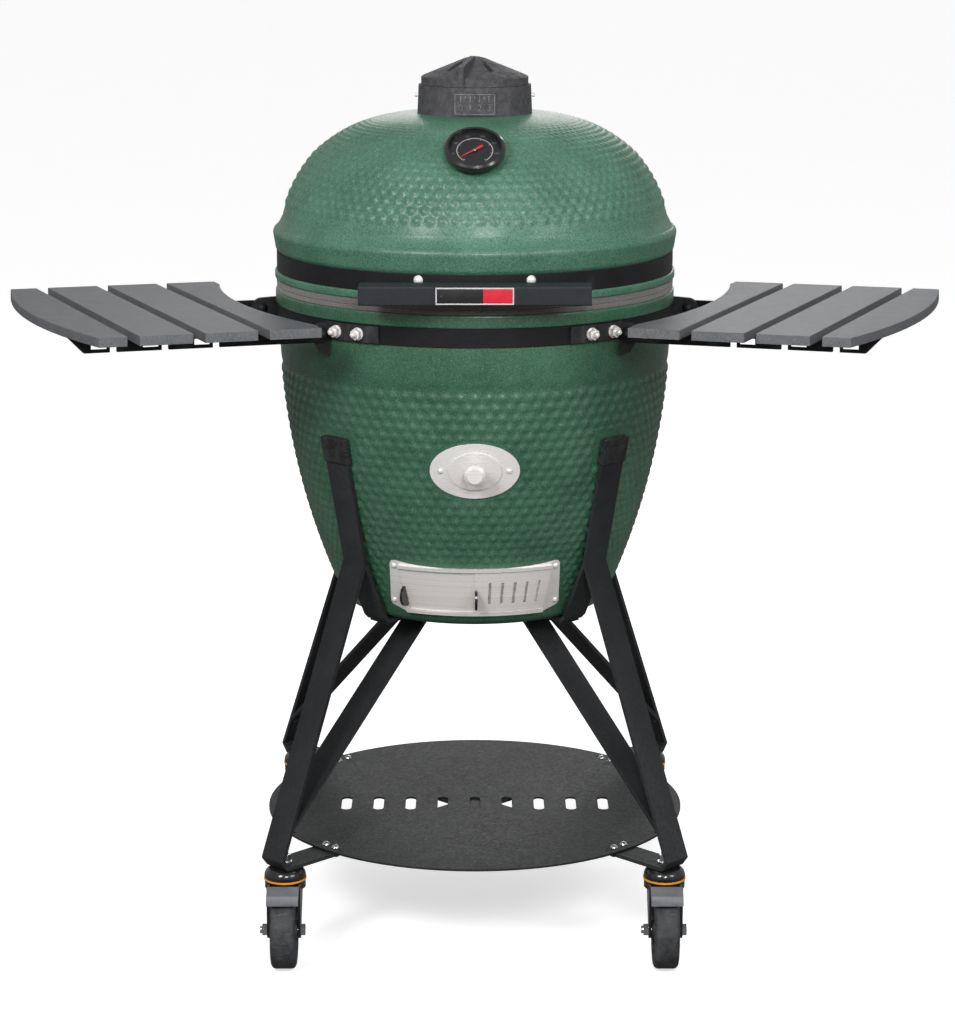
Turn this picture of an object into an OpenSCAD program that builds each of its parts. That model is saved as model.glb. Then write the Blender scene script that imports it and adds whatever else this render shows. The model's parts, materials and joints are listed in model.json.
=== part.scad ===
// Kamado ceramic grill on a four-legged rolling stand, with two fold-down side shelves.
// The origin is on the floor below the ceramic body's axis. +Z is up and the front faces -Y.

/* [Ceramic body] */
// Height of the closed joint between base and dome
rim_z = 854.5; // [850:0.5:860]
// Height of the underside of the base
base_z = 427.5; // [426:0.5:429]
// Thickness of the ceramic wall
wall = 24; // [20:1:26]
// Radius of the ceramic behind the two steel bands
band_seat_r = 259; // [257:0.5:259.5]

/* [Openings and vent] */
// Half width of the draft opening
draft_half_w = 70; // [50:1:76]
// Height of the draft opening
draft_h = 46; // [30:1:48]
// Outer radius of the chimney vent's base ring
vent_r = 75; // [72:1:78]
// Angle of the thermometer above the horizon
therm_tilt = 53.3; // [48:0.1:54]

/* [Handle and hinge] */
// Length of the handle
handle_w = 286; // [240:2:300]
// Depth of the handle from front to back
handle_d = 36; // [30:1:38]
// Distance of the hinge pin behind the body's axis
hinge_y = 304; // [300:1:312]

/* [Stand] */
// Width of the flat steel that the stand is made of
bar_w = 40; // [36:1:44]
// Thickness of the flat steel
bar_t = 5; // [4:0.5:5]
// Distance of a front caster's stem from the body's axis
caster_r = 348; // [342:1:352]
// How much farther out the rear casters stand
rear_spread = 8; // [0:1:10]
// Radius of the round bottom shelf
plate_r = 283; // [270:1:290]

/* [Casters] */
// Radius of a wheel
wheel_r = 50; // [46:1:50]
// Width of a wheel
wheel_w = 32; // [28:1:32]
// Distance of an axle behind its caster's stem
trail = 33; // [30:1:36]

/* [Side shelves] */
// Turn of each side shelf towards the front
shelf_turn = 22.5; // [20:0.5:24]
// Rise of each side shelf towards its outer edge
shelf_rise = 1; // [0:0.5:2]
// Length of a slat
slat_l = 442; // [400:2:450]
// Width of a slat
slat_w = 67.5; // [60:0.5:72]
// Distance from one slat to the next
slat_pitch = 82.4; // [80:0.2:86]

/* [Hidden] */
$fn = 48;

ceramic_light = [0.22, 0.45, 0.30];
ceramic_dark = [0.13, 0.35, 0.22];
fired_clay = [0.74, 0.62, 0.47];
powder_black = [0.10, 0.10, 0.11];
iron_grey = [0.27, 0.27, 0.29];
steel = [0.80, 0.80, 0.80];
slat_grey = [0.28, 0.29, 0.31];

// Outline of the base: a bottom corner, one long belly arc, then the band seat and the lip.
belly_c = [-662, 810];
belly_r = 919.5;
corner_c = [163, base_z + 18.5];
corner_r = 18.5;
belly_top_z = 751;
step_z = 759.4;
base_floor_z = base_z + wall + 0.5;
base_rim_z = rim_z - 6.5;
base_lip_r = 263.2;
lower_band_z = [806.5, 830.5];

// Outline of the dome: lip, band seat, collar, then a shoulder arc and a crown arc.
dome_rim_z = rim_z + 8.5;
dome_lip_r = 263.8;
upper_band_z = [873, 898];
shoulder_c = [72, 900];
shoulder_r = 186;
crown_c = [79, 884.5];
crown_r = 191.7;
crown_join_z = 1022.4;
crown_z = crown_c[1] + crown_r;
chimney_r = 62;
inner_r = 238;

band_t = 2.2;
band_outer_r = band_seat_r + 0.1 + band_t;

bore_play = 0.05;

function arc_angle(c, r, z) = asin((z - c[1]) / r);
function arc(c, r, a0, a1, n) =
    [for (i = [0:n]) let (a = a0 + (a1 - a0) * i / n) [c[0] + r * cos(a), c[1] + r * sin(a)]];
// The belly arc between two heights, set off from the outer surface by d.
function belly(d, z0, z1, n) = arc(belly_c, belly_r + d,
    arc_angle(belly_c, belly_r + d, z0), arc_angle(belly_c, belly_r + d, z1), n);
function belly_x(d, z) = belly_c[0] + (belly_r + d) * cos(arc_angle(belly_c, belly_r + d, z));

module turned(points, fn = 96) rotate_extrude($fn = fn) polygon(points);
module ring(r0, r1, z0, z1, fn = 96) turned([[r0, z0], [r1, z0], [r1, z1], [r0, z1]], fn);
// A ring sector from azimuth a0 to a1, counted anticlockwise from +X.
module sector(points, a0, a1, fn = 144)
    rotate([0, 0, a0]) rotate_extrude(angle = a1 - a0, $fn = fn) polygon(points);
module ellipse_2d(a, b, n = 48)
    polygon([for (i = [0:n - 1]) [a * cos(360 * i / n), b * sin(360 * i / n)]]);
module hex(r, h) cylinder(r = r, h = h, $fn = 6);
module mirrored() {
    children();
    mirror([1, 0, 0]) children();
}

// ---------------------------------------------------------------- ceramic body

module base_shell() color(ceramic_dark) difference() {
    turned(concat([[0, base_z]],
        arc(corner_c, corner_r, -90, -22, 5),
        belly(0, base_z + 20, belly_top_z, 14),
        [[257.2, step_z], [band_seat_r + 0.8, lower_band_z[0]], [band_seat_r, lower_band_z[0]],
            [band_seat_r, lower_band_z[1]], [base_lip_r, lower_band_z[1]],
            [base_lip_r, base_rim_z - 2], [base_lip_r - 2, base_rim_z], [inner_r, base_rim_z],
            [inner_r - 3, step_z + 20]],
        belly(-wall, belly_top_z, base_floor_z + 10, 10),
        [[belly_x(-wall, base_floor_z) - 6, base_floor_z], [0, base_floor_z]]));
    translate([-draft_half_w, -240, base_floor_z + 5]) cube([2 * draft_half_w, 140, draft_h]);
    translate([0, -200, port_z]) rotate([90, 0, 0]) linear_extrude(80) ellipse_2d(28, 20);
}

module dome_shell() color(ceramic_light) difference() {
    turned(concat(
        [[inner_r, dome_rim_z], [dome_lip_r, dome_rim_z], [dome_lip_r, upper_band_z[0]],
            [band_seat_r, upper_band_z[0]], [band_seat_r, upper_band_z[1]],
            [band_seat_r + 1, upper_band_z[1] + 0.5]],
        arc([256.6, 922], 9, -15, 70, 5),
        arc(shoulder_c, shoulder_r, arc_angle(shoulder_c, shoulder_r, 943.4),
            arc_angle(shoulder_c, shoulder_r, crown_join_z), 8),
        arc(crown_c, crown_r, arc_angle(crown_c, crown_r, crown_join_z) + 2, 90, 8),
        [[chimney_r, crown_z], [chimney_r, crown_z - wall]],
        arc(crown_c, crown_r - wall, 90, arc_angle(crown_c, crown_r, crown_join_z), 6),
        arc(shoulder_c, shoulder_r - wall, arc_angle(shoulder_c, shoulder_r, crown_join_z) - 3,
            0, 6)));
    at_thermometer() cylinder(r = 6.5, h = 80, center = true);
}

// Felt rings glued to the two rims: they meet when the dome is closed.
module base_gasket() color([0.20, 0.19, 0.18]) ring(inner_r + 2, 261.6, base_rim_z, rim_z - 0.15);
module dome_gasket() color([0.20, 0.19, 0.18]) ring(inner_r + 2, 261.8, rim_z + 0.15, dome_rim_z);

// Fire bowl: the ash falls through the charcoal grate to the floor of the base below it.
module firebox() color(fired_clay) difference() {
    turned([[146, base_floor_z], [212, 700], [192, 700], [150, 545], [grate_r + 1, 530],
        [grate_r + 1, grate_z], [106, grate_z], [106, 508], [128, 500], [128, base_floor_z]]);
    translate([-62, -190, base_floor_z - 1]) cube([124, 110, 46]);
}

module fire_ring() color(fired_clay)
    turned([[192, 700], [212, 700], [cook_r + 2, 772], [cook_r + 2, 800], [cook_r - 4, 800],
        [cook_r - 18, 790], [204, 740]]);

grate_r = 117;
grate_z = 520;
module charcoal_grate() color(iron_grey) translate([0, 0, grate_z]) linear_extrude(8)
    difference() {
        circle(r = grate_r, $fn = 96);
        for (i = [-4:4]) translate([i * 24 - 5, 0]) for (s = [-1, 1])
            translate([0, s > 0 ? 8 : -8 - slot_len(i)]) square([10, slot_len(i)]);
    }
function slot_len(i) = sqrt(105 * 105 - pow(abs(i) * 24 + 5, 2)) - 8;

cook_r = 226;
cook_z = 800;
module cooking_grate() color(steel) {
    ring(cook_r - 6, cook_r, cook_z, cook_z + 6);
    translate([0, 0, cook_z]) linear_extrude(6) for (i = [-12:12])
        translate([i * 17.4 - 2, -bar_half(i)]) square([4, 2 * bar_half(i)]);
    translate([-bar_half(3), -62, cook_z]) cube([2 * bar_half(3), 4, 6]);
    translate([-bar_half(3), 58, cook_z]) cube([2 * bar_half(3), 4, 6]);
}
function bar_half(i) = sqrt(pow(cook_r - 3, 2) - pow(abs(i) * 17.4 + 2, 2));

// ---------------------------------------------------------------- bands, hinge

module lower_band() color(powder_black)
    ring(band_seat_r + 0.1, band_outer_r, lower_band_z[0] + 0.2, lower_band_z[1] - 0.2);
module upper_band() color(powder_black)
    ring(band_seat_r + 0.1, band_outer_r, upper_band_z[0] + 0.2, upper_band_z[1] - 0.2);

// What is fastened to a band starts at its outer face.
module band_clearance() cylinder(r = band_outer_r + 0.05, h = 1200, $fn = 144);

// One clamping bolt on a lug: a washer, a hexagon nut and the rounded thread end.
module lug_bolt(az) rotate([0, 0, az]) translate([lug_r, 0, lug_z]) rotate([0, 90, 0]) {
    cylinder(r = 8, h = 1.6);
    hex(7.4, 7.5);
    cylinder(r = 4, h = 11);
    translate([0, 0, 11]) intersection() {
        sphere(r = 4, $fn = 24);
        cylinder(r = 5, h = 5);
    }
}
lug_r = band_outer_r + 4;
lug_z = 818.5;
front_bolt_az = [229, 236.5];
module band_bolts() color(steel) mirrored() {
    for (a = front_bolt_az) lug_bolt(a);
    lug_bolt(158);
}

hinge_z = rim_z;
module hinge_ear(x, t, points, bore) translate([x, 0, 0]) rotate([90, 0, 90])
    linear_extrude(t) difference() {
        union() {
            translate([hinge_y, hinge_z]) circle(r = 12);
            polygon(points);
        }
        translate([hinge_y, hinge_z]) circle(r = bore);
    }
module hinge_lower() color(powder_black) difference() {
    union() {
        mirrored() hinge_ear(50, 5, [[240, lower_band_z[0] - 14], [268, lower_band_z[0] - 14],
            [hinge_y + 11, hinge_z - 4], [hinge_y - 10.4, hinge_z + 6], [272, lower_band_z[1] - 1],
            [240, lower_band_z[1] - 1]], 5);
        translate([-52, 250, lower_band_z[0] + 1]) cube([104, 22, 22]);
    }
    band_clearance();
}
module hinge_upper() color(powder_black) difference() {
    union() {
        mirrored() hinge_ear(44, 5, [[240, upper_band_z[0] + 1], [265.5, upper_band_z[0] + 1],
            [272, upper_band_z[0] - 4], [hinge_y - 11.5, hinge_z - 3], [hinge_y + 8, hinge_z + 9],
            [274, upper_band_z[1] - 3], [240, upper_band_z[1] - 3]], 5 + bore_play);
        translate([-46, 250, upper_band_z[0] + 2]) cube([92, 22, 20]);
    }
    band_clearance();
}
module hinge_pin() color(steel) translate([0, hinge_y, hinge_z]) rotate([0, 90, 0]) {
    cylinder(r = 5, h = 122, center = true);
    translate([0, 0, -62]) cylinder(r = 8, h = 5);
    translate([0, 0, 57]) cylinder(r = 8, h = 5);
}
// Two torsion springs round the pin, drawn as stacked turns, each with a leg to the bracket.
spring_turns = 7;
module hinge_springs() color([0.35, 0.35, 0.37]) mirrored() {
    for (i = [0:spring_turns - 1]) translate([8 + i * 4, hinge_y, hinge_z]) rotate([0, 90, 0])
        rotate_extrude($fn = 36) translate([8.2, 0]) circle(r = 2.05, $fn = 16);
    translate([8, hinge_y - 8.2, hinge_z]) rotate([0, 180, 0]) rotate([spring_lean, 0, 0])
        cylinder(r = 2, h = 36, $fn = 16);
}
spring_lean = 33;

// ---------------------------------------------------------------- handle

handle_front_y = -306;
handle_z = [866.5, 890.5];
module handle_bar() color(powder_black)
    translate([-handle_w / 2, handle_front_y, handle_z[0]]) rotate([90, 0, 90])
        linear_extrude(handle_w) polygon([[0, 1.5], [1.5, 0], [handle_d - 2, 0], [handle_d, 2],
            [handle_d, handle_z[1] - handle_z[0] - 2],
            [handle_d - 2, handle_z[1] - handle_z[0]], [1.5, handle_z[1] - handle_z[0]],
            [0, handle_z[1] - handle_z[0] - 1.5]]);
module handle_brackets() color(powder_black) mirrored() difference() {
    translate([58, handle_front_y + handle_d, upper_band_z[0] + 1]) cube([24, 24, 10]);
    band_clearance();
}
plate_h = 21;
module name_plate() color(steel) translate([-48, handle_front_y - 1.8, 868]) difference() {
    cube([96, 1.8, plate_h]);
    translate([1.6, -1, 1.6]) cube([92.8, 1.6, plate_h - 3.2]);
}
module lid_screws() color(steel) {
    mirrored() {
        rotate([0, 0, 270 + asin(70 / band_outer_r)])
            translate([band_outer_r + 0.05, 0, upper_band_z[0] + 17.6]) rotate([0, 90, 0])
                intersection() {
                    translate([0, 0, -2.5]) sphere(r = 6.6, $fn = 32);
                    cylinder(r = 8, h = 6);
                }
        translate([vent_r - 0.1, 0, 1099]) rotate([0, 90, 0]) cylinder(r = 2.6, h = 3.4);
    }
}

// ---------------------------------------------------------------- thermometer

module at_thermometer() translate([0, -crown_c[0] - crown_r * cos(therm_tilt),
    crown_c[1] + crown_r * sin(therm_tilt)]) rotate([90 - therm_tilt, 0, 0]) children();
case_r = 38.5;
module thermometer_case() color(powder_black) at_thermometer() {
    turned([[0, 0.5], [22, 0.5], [case_r - 4, 3], [case_r, 7], [case_r, 14],
        [case_r - 2.5, 16.5], [33, 16.5], [33, 15], [34, 15], [34, 8], [0, 8]], 72);
    translate([0, 0, -30]) cylinder(r = 6, h = 31);
    translate([0, 0, -95]) cylinder(r = 3, h = 70);
}
module thermometer_dial() color([0.08, 0.08, 0.09]) at_thermometer() {
    translate([0, 0, 8]) cylinder(r = 33.8, h = 1);
    translate([0, 0, 8]) cylinder(r = 1, h = 4.4);
}
needle_rest = 217;
module thermometer_needle() color([0.85, 0.12, 0.10]) at_thermometer()
    rotate([0, 0, needle_rest]) translate([0, 0, 10.4]) linear_extrude(0.8) difference() {
        union() {
            polygon([[25, 0], [3, 1.2], [-12, 1.8], [-12, -1.8], [3, -1.2]]);
            circle(r = 2.6);
        }
        circle(r = 1 + bore_play, $fn = 24);
    }
module thermometer_lens() color([0.9, 0.95, 1, 0.25]) at_thermometer()
    translate([0, 0, 13]) cylinder(r = 33.9, h = 2, $fn = 72);

// ---------------------------------------------------------------- chimney vent

vent_deck_z = 1108;
vent_top_z = 1113;
slot_count = 5;
slot_turn = 9;
module vent_slots(r0, r1, w, turn) for (i = [0:slot_count - 1])
    rotate([0, 0, turn + i * 360 / slot_count])
        translate([r0, -w / 2]) square([r1 - r0, w]);
module vent_base() color(iron_grey) {
    difference() {
        turned([[chimney_r - 2, crown_z - 14], [chimney_r - 2, vent_deck_z], [5, vent_deck_z],
            [5, vent_top_z], [vent_r - 1.5, vent_top_z], [vent_r, crown_z + 1],
            [vent_r, crown_z], [chimney_r - 0.6, crown_z], [chimney_r - 0.6, crown_z - 14]]);
        translate([0, 0, vent_deck_z - 1]) linear_extrude(8) vent_slots(18, 52, 12, slot_turn - 36);
    }
    translate([0, 0, vent_deck_z]) cylinder(r = 5, h = 22);
    intersection() {
        translate([-27, -vent_r - 4, crown_z + 1.5]) cube([54, 20, 29]);
        ring(vent_r - 3, vent_r + 1.6, crown_z + 1, vent_deck_z);
    }
}
cap_gap = 0.4;
cap_r = 70;
module vent_top() color(iron_grey) difference() {
    union() {
        turned([[0, vent_top_z + cap_gap], [cap_r, vent_top_z + cap_gap], [cap_r, 1123],
            [cap_r - 3, 1125], [14, 1146.5], [6, 1148.5], [0, 1148.5]]);
        rotate([0, 0, 270 - 14]) translate([0, -3.25, 0]) rotate([90, 0, 0]) mirror([0, 0, 1])
            linear_extrude(6.5) polygon([[8, 1140], [12, 1150], [cap_r - 8, 1141.5],
                [cap_r + 3, 1139], [cap_r + 3, vent_top_z + cap_gap],
                [cap_r - 4, vent_top_z + cap_gap]]);
    }
    turned([[5 + bore_play, 1100], [5 + bore_play, 1131], [0, 1131], [0, 1100]], 48);
    turned([[12, 1110], [cap_r - 6, 1110], [cap_r - 6, 1119], [12, 1138]]);
    translate([0, 0, 1112]) linear_extrude(40) vent_slots(20, 50, 7, slot_turn);
}

// ---------------------------------------------------------------- draft slide and port

draft_z = [444, 512];
frame_az = 28;
// Right half of the frame outline: its top edge rises a little towards the corner.
flap = [[40, draft_z[1]], [70, draft_z[1] + 1.5], [90, draft_z[1] + 3.7], [103, draft_z[1] + 6],
    [108, draft_z[1] + 5], [110, draft_z[1] + 1],
    [109, draft_z[0] + 13], [107, draft_z[0] + 9], [103, draft_z[0] + 7], [88, draft_z[0]]];
function skin(d0, d1, z0, z1) = concat(belly(d0, z0, z1, 3), belly(d1, z1, z0, 3));
module skin_sector(d0, d1, z0, z1, a0, a1) sector(skin(d0, d1, z0, z1), 270 + a0, 270 + a1);
rail_h = 4.5;
module draft_frame() color(steel) {
    difference() {
        intersection() {
            turned(skin(0.3, 1.8, draft_z[0] - 2, draft_z[1] + 8), 144);
            translate([0, -100, 0]) rotate([90, 0, 0]) linear_extrude(140)
                polygon(concat(flap, [for (i = [len(flap) - 1:-1:0]) [-flap[i][0], flap[i][1]]]));
        }
        translate([-draft_half_w, -240, base_floor_z + 5]) cube([2 * draft_half_w, 140, draft_h]);
    }
    skin_sector(1.7, 6.2, draft_z[0], draft_z[0] + rail_h, -frame_az, frame_az);
    skin_sector(1.7, 6.2, draft_z[1] - rail_h, draft_z[1], -frame_az, frame_az);
}
door_z = [draft_z[0] + rail_h + 0.5, draft_z[1] - rail_h - 0.5];
// A slide's finger tab stands out from its left edge.
tab_z = 469;
tab_r = 13.5;
module tab(az, d) intersection() {
    skin_sector(d, d + tab_r, door_z[0] + 4, door_z[1] - 22, az, az + 0.6);
    rotate([0, 0, 270 + az]) translate([belly_x(d, tab_z), -4, tab_z]) rotate([-90, 0, 0])
        cylinder(r = tab_r, h = 12);
}
module draft_door() color(steel) {
    skin_sector(2.1, 3.3, door_z[0], door_z[1], -28, 3);
    tab(-27.4, 3.2);
}
screen_slots = 5;
module draft_screen() color(steel) {
    difference() {
        skin_sector(3.8, 5, door_z[0], door_z[1], 0, 28);
        for (i = [0:screen_slots - 1]) rotate([0, 0, 270 + 5.5 + i * 4.6])
            translate([180, -1.9, draft_z[0] + 18]) cube([60, 3.8, 30]);
    }
    tab(0.2, 4.9);
}

port_z = 647;
port_y = -belly_x(0, port_z);
module port_plate() color(steel) difference() {
    intersection() {
        turned(skin(0.3, 2.3, port_z - 45, port_z + 45), 144);
        translate([0, -200, port_z]) rotate([90, 0, 0]) linear_extrude(80) ellipse_2d(57, 36.5, 72);
    }
    translate([0, -200, port_z]) rotate([90, 0, 0]) linear_extrude(80) ellipse_2d(28, 20);
}
module port_plug() color(steel) {
    intersection() {
        turned(skin(2.6, 4.4, port_z - 40, port_z + 40), 144);
        translate([0, -200, port_z]) rotate([90, 0, 0]) linear_extrude(80)
            ellipse_2d(33.5, 24.5, 60);
    }
    difference() {
        translate([0, port_y + 24, port_z]) rotate([90, 0, 0]) linear_extrude(24) ellipse_2d(26, 18);
        turned(concat(skin(4, 40, port_z - 40, port_z + 40)), 144);
    }
    translate([0, port_y - 3, port_z]) rotate([90, 0, 0]) {
        cylinder(r = 4, h = 18);
        translate([0, 0, 16]) cylinder(r1 = 8, r2 = 13.3, h = 5);
        translate([0, 0, 21]) cylinder(r = 13.3, h = 6);
        translate([0, 0, 27]) cylinder(r1 = 13.3, r2 = 9.5, h = 3);
    }
}
// Round heads of the screws that hold the draft frame and the port plate.
module skin_screw(az, z, d, r) rotate([0, 0, 270 + az]) translate([belly_x(d, z), 0, z])
    rotate([0, 90 - belly_tilt(z), 0]) intersection() {
        translate([0, 0, -r * 0.35]) sphere(r = r, $fn = 24);
        cylinder(r = r, h = r);
    }
function belly_tilt(z) = arc_angle(belly_c, belly_r, z);
module front_screws() color(steel) {
    for (s = [-1, 1]) {
        skin_screw(s * 33.4, draft_z[0] + 15, 1.9, 4.2);
        skin_screw(s * 30, draft_z[1] - 2, 1.9, 4.2);
        skin_screw(s * 10.2, port_z, 2.4, 4);
    }
}

// ---------------------------------------------------------------- stand

bar_top_z = 130;
kink = [219.5, 509.5];
leg_top = [253.1, 672];
foot_out = 20;
foot_z = 138;
heel_out = 12;
cradle = [184, 431];
brace_end = [101, 424];
brace_z = 177;
plate_bolt_r = 268;
plate_bolt_gap = 18.5;
// Side outline of a flat bar between two points (distance from the axis, height) of a leg's
// plane, with round ends so that bars join in a bend.
module strip(p, q) {
    translate(p) rotate(atan2(q[1] - p[1], q[0] - p[0])) translate([0, -bar_t / 2])
        square([norm(q - p), bar_t]);
    for (end = [p, q]) translate(end) circle(r = bar_t / 2 - 0.06, $fn = 24);
}
function stem_r(az) = caster_r + (az < 180 ? rear_spread : 0);
// One leg with its cradle arm, brace and base bar. Bars stop reach short of the axis.
module leg(az, reach) rotate([0, 0, az]) difference() {
    foot = [stem_r(az) + foot_out, foot_z];
    heel = [stem_r(az) + heel_out, bar_top_z - bar_t / 2];
    along = (kink[1] - brace_z) / (kink[1] - foot_z);
    rotate([90, 0, 0]) linear_extrude(bar_w, center = true) {
        strip(leg_top, kink);
        strip(kink, foot);
        strip(foot, heel);
        strip(kink, cradle);
        strip(cradle, [178, base_z - bar_t / 2]);
        strip([kink[0] + (foot[0] - kink[0]) * along, brace_z], brace_end);
        translate([reach, base_z - bar_t]) square([178 - reach, bar_t]);
        translate([reach, bar_top_z - bar_t]) square([heel[0] - reach, bar_t]);
    }
    translate([stem_r(az), 0, 100]) cylinder(r = 5, h = 60);
    for (s = [-1, 1]) translate([plate_bolt_r, s * plate_bolt_gap / 2, 100])
        cylinder(r = 3.1, h = 40);
}
module leg_front_left() color(powder_black) leg(225, 0);
module leg_front_right() color(powder_black) leg(315, bar_w / 2);
module leg_rear_left() color(powder_black) leg(135, bar_w / 2);
module leg_rear_right() color(powder_black) leg(45, 0);

module leg_caps() color([0.06, 0.06, 0.06]) for (az = [45, 135, 225, 315]) rotate([0, 0, az])
    translate([leg_top[0], 0, leg_top[1]])
        rotate([0, -atan2(kink[1] - leg_top[1], kink[0] - leg_top[0]), 0]) difference() {
            translate([-6, -21.75, -4.6]) cube([34, 43.5, 9.2]);
            translate([-bar_t / 2, -bar_w / 2, -bar_t / 2]) cube([40, bar_w, bar_t]);
        }

module bottom_shelf() color(powder_black) difference() {
    translate([0, 0, bar_top_z]) cylinder(r = plate_r, h = 3, $fn = 144);
    for (az = [45:90:315]) rotate([0, 0, az]) for (s = [-1, 1])
        translate([plate_bolt_r, s * plate_bolt_gap / 2, 100]) cylinder(r = 3.1, h = 40);
    for (i = [-4:4]) translate([i * 44, -12, 100]) linear_extrude(60) {
        for (y = [-20, 20]) translate([0, y]) circle(r = 7);
        translate([-7, -20]) square([14, 40]);
    }
}

module stand_bolts() color(steel) for (az = [45:90:315]) rotate([0, 0, az]) {
    translate([stem_r(az), 0, bar_top_z]) {
        cylinder(r = 9, h = 1.8);
        rotate([0, 0, 20]) hex(7.5, 11);
        translate([0, 0, 10.5]) cylinder(r = 4.6, h = 6);
        translate([0, 0, -17]) cylinder(r = 4.6, h = 18);
    }
    for (s = [-1, 1]) translate([plate_bolt_r, s * plate_bolt_gap / 2, bar_top_z]) {
        translate([0, 0, 3]) intersection() {
            translate([0, 0, -2]) sphere(r = 5.6, $fn = 24);
            cylinder(r = 6, h = 5);
        }
        translate([0, 0, -bar_t - 4]) cylinder(r = 3, h = bar_t + 8);
        translate([0, 0, -bar_t - 4.2]) hex(5.2, 4);
    }
}

// ---------------------------------------------------------------- casters

// Front casters trail forwards and rear ones backwards. In a caster's own frame the wheel
// lies on its -Y side.
module at_caster(az) rotate([0, 0, az]) translate([stem_r(az), 0, 0])
    rotate([0, 0, (az > 180 ? 0 : 180) - az]) children();
cup_z = [111, bar_top_z - bar_t];
king_r = 8;
module caster_cups() color([0.05, 0.05, 0.05]) for (az = [45:90:315]) at_caster(az) difference() {
    union() {
        turned(concat([[0, cup_z[0]], [27, cup_z[0]]], arc([15.5, cup_z[0] + 2.5], 11.5, 0, 80, 6),
            [[14, cup_z[1]], [0, cup_z[1]]]), 60);
        translate([0, 0, 97]) cylinder(r = king_r, h = 16);
        translate([0, 0, 95.4]) cylinder(r = king_r + 2.5, h = 2.2);
    }
    translate([0, 0, 112.8]) cylinder(r = 4.6, h = 20);
}
module caster_rings() color([0.95, 0.5, 0.05]) for (az = [45:90:315]) at_caster(az)
    ring(25, 27.6, cup_z[0] - 2.4, cup_z[0], 60);
axle_z = wheel_r;
fork_x = [18.5, 21.7];
fork_top = [98, 108.2];
module fork(az, braked) at_caster(az) difference() {
    union() {
        translate([0, 0, fork_top[0]]) cylinder(r = 26.5, h = fork_top[1] - fork_top[0], $fn = 60);
        mirrored() translate([fork_x[0], 0, 0]) rotate([90, 0, 90])
            linear_extrude(fork_x[1] - fork_x[0]) union() {
                polygon([[-trail - 11, axle_z], [-trail - 9, 85], [-40, fork_top[1] - 1],
                    [17, fork_top[1] - 1], [17, fork_top[0] - 6], [-trail + 11, axle_z]]);
                translate([-trail, axle_z]) circle(r = 11);
            }
    }
    translate([0, 0, 90]) cylinder(r = king_r + bore_play, h = 30);
    translate([0, 0, 85]) cylinder(r = king_r + 5, h = 13);
    translate([0, -trail, axle_z]) rotate([0, 90, 0]) cylinder(r = 5, h = 80, center = true);
    translate([0, -trail, axle_z]) rotate([0, 90, 0]) cylinder(r = wheel_r + 2, h = 36, center = true);
    if (braked) translate([0, brake_pin[0], brake_pin[1]]) rotate([0, 90, 0])
        cylinder(r = 2.5 + bore_play, h = 80, center = true);
}
module fork_front_left() color(powder_black) fork(225, true);
module fork_front_right() color(powder_black) fork(315, true);
module fork_rear_left() color(powder_black) fork(135, false);
module fork_rear_right() color(powder_black) fork(45, false);

module axle(az) color(steel) at_caster(az) translate([0, -trail, axle_z]) rotate([0, 90, 0]) {
    translate([0, 0, -fork_x[1] - 9.5]) cylinder(r = 5, h = 2 * fork_x[1] + 10.5);
    translate([0, 0, fork_x[1]]) hex(8, 5.5);
    translate([0, 0, -fork_x[1] - 6.5]) hex(8, 6.5);
}
module axle_front_left() axle(225);
module axle_front_right() axle(315);
module axle_rear_left() axle(135);
module axle_rear_right() axle(45);

module wheel(az) color([0.16, 0.16, 0.17]) at_caster(az) translate([0, -trail, axle_z])
    rotate([0, 90, 0]) turned(concat(
        [[5 + bore_play, -17.5], [12, -17.5], [14, -12], [30, -12], [34, -wheel_w / 2]],
        [[wheel_r - 5, -wheel_w / 2]], arc([wheel_r - 6, -wheel_w / 2 + 6], 6, -60, 0, 3),
        arc([wheel_r - 6, wheel_w / 2 - 6], 6, 0, 60, 3), [[wheel_r - 5, wheel_w / 2]],
        [[34, wheel_w / 2], [30, 12], [14, 12], [12, 17.5], [5 + bore_play, 17.5]]), 96);
module wheel_front_left() wheel(225);
module wheel_front_right() wheel(315);
module wheel_rear_left() wheel(135);
module wheel_rear_right() wheel(45);

brake_pin = [-34, 104.6];
module brake(az) color([0.35, 0.35, 0.37]) at_caster(az) {
    translate([0, brake_pin[0], brake_pin[1]]) rotate([0, 90, 0])
        cylinder(r = 2.5, h = 2 * fork_x[1] + 1, center = true);
    translate([-17.5, 0, 0]) rotate([90, 0, 90]) linear_extrude(35)
        polygon([[-30, 107], [-30, 103], [-50, 102.6], [-50, 107]]);
    translate([-20.5, 0, 0]) rotate([90, 0, 90]) linear_extrude(41)
        polygon([[-44, 112], [-44, 108.6], [-46, 103], [-64, 100], [-66, 95], [-70, 95], [-70, 101],
            [-66, 107], [-50, 112]]);
}
module brake_front_left() brake(225);
module brake_front_right() brake(315);

// ---------------------------------------------------------------- side shelves

// The left shelf's own frame: +X points outwards from the body, +Y towards its front edge.
module shelf_frame() rotate([0, 0, 180 + shelf_turn]) children();
module both_shelves() mirrored() shelf_frame() children();
pivot = [252, 813.5];
// Tilts what is attached to the shelf about its pivot line.
module risen() translate([pivot[0], 0, pivot[1]]) rotate([0, -shelf_rise, 0])
    translate([-pivot[0], 0, -pivot[1]]) children();
arm_z = [803.5, 823.5];
arm_t = 5;
front_arm_y = 103;
rear_arm_y = -145;
arm_end = 582;
slat_t = 12;
slat_in = 283;
slat_mid_y = -29;
outer_bow = 28;
outer_bow_r = (pow(slat_l / 2, 2) + outer_bow * outer_bow) / (2 * outer_bow);
inner_bow_r = 640;

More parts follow.
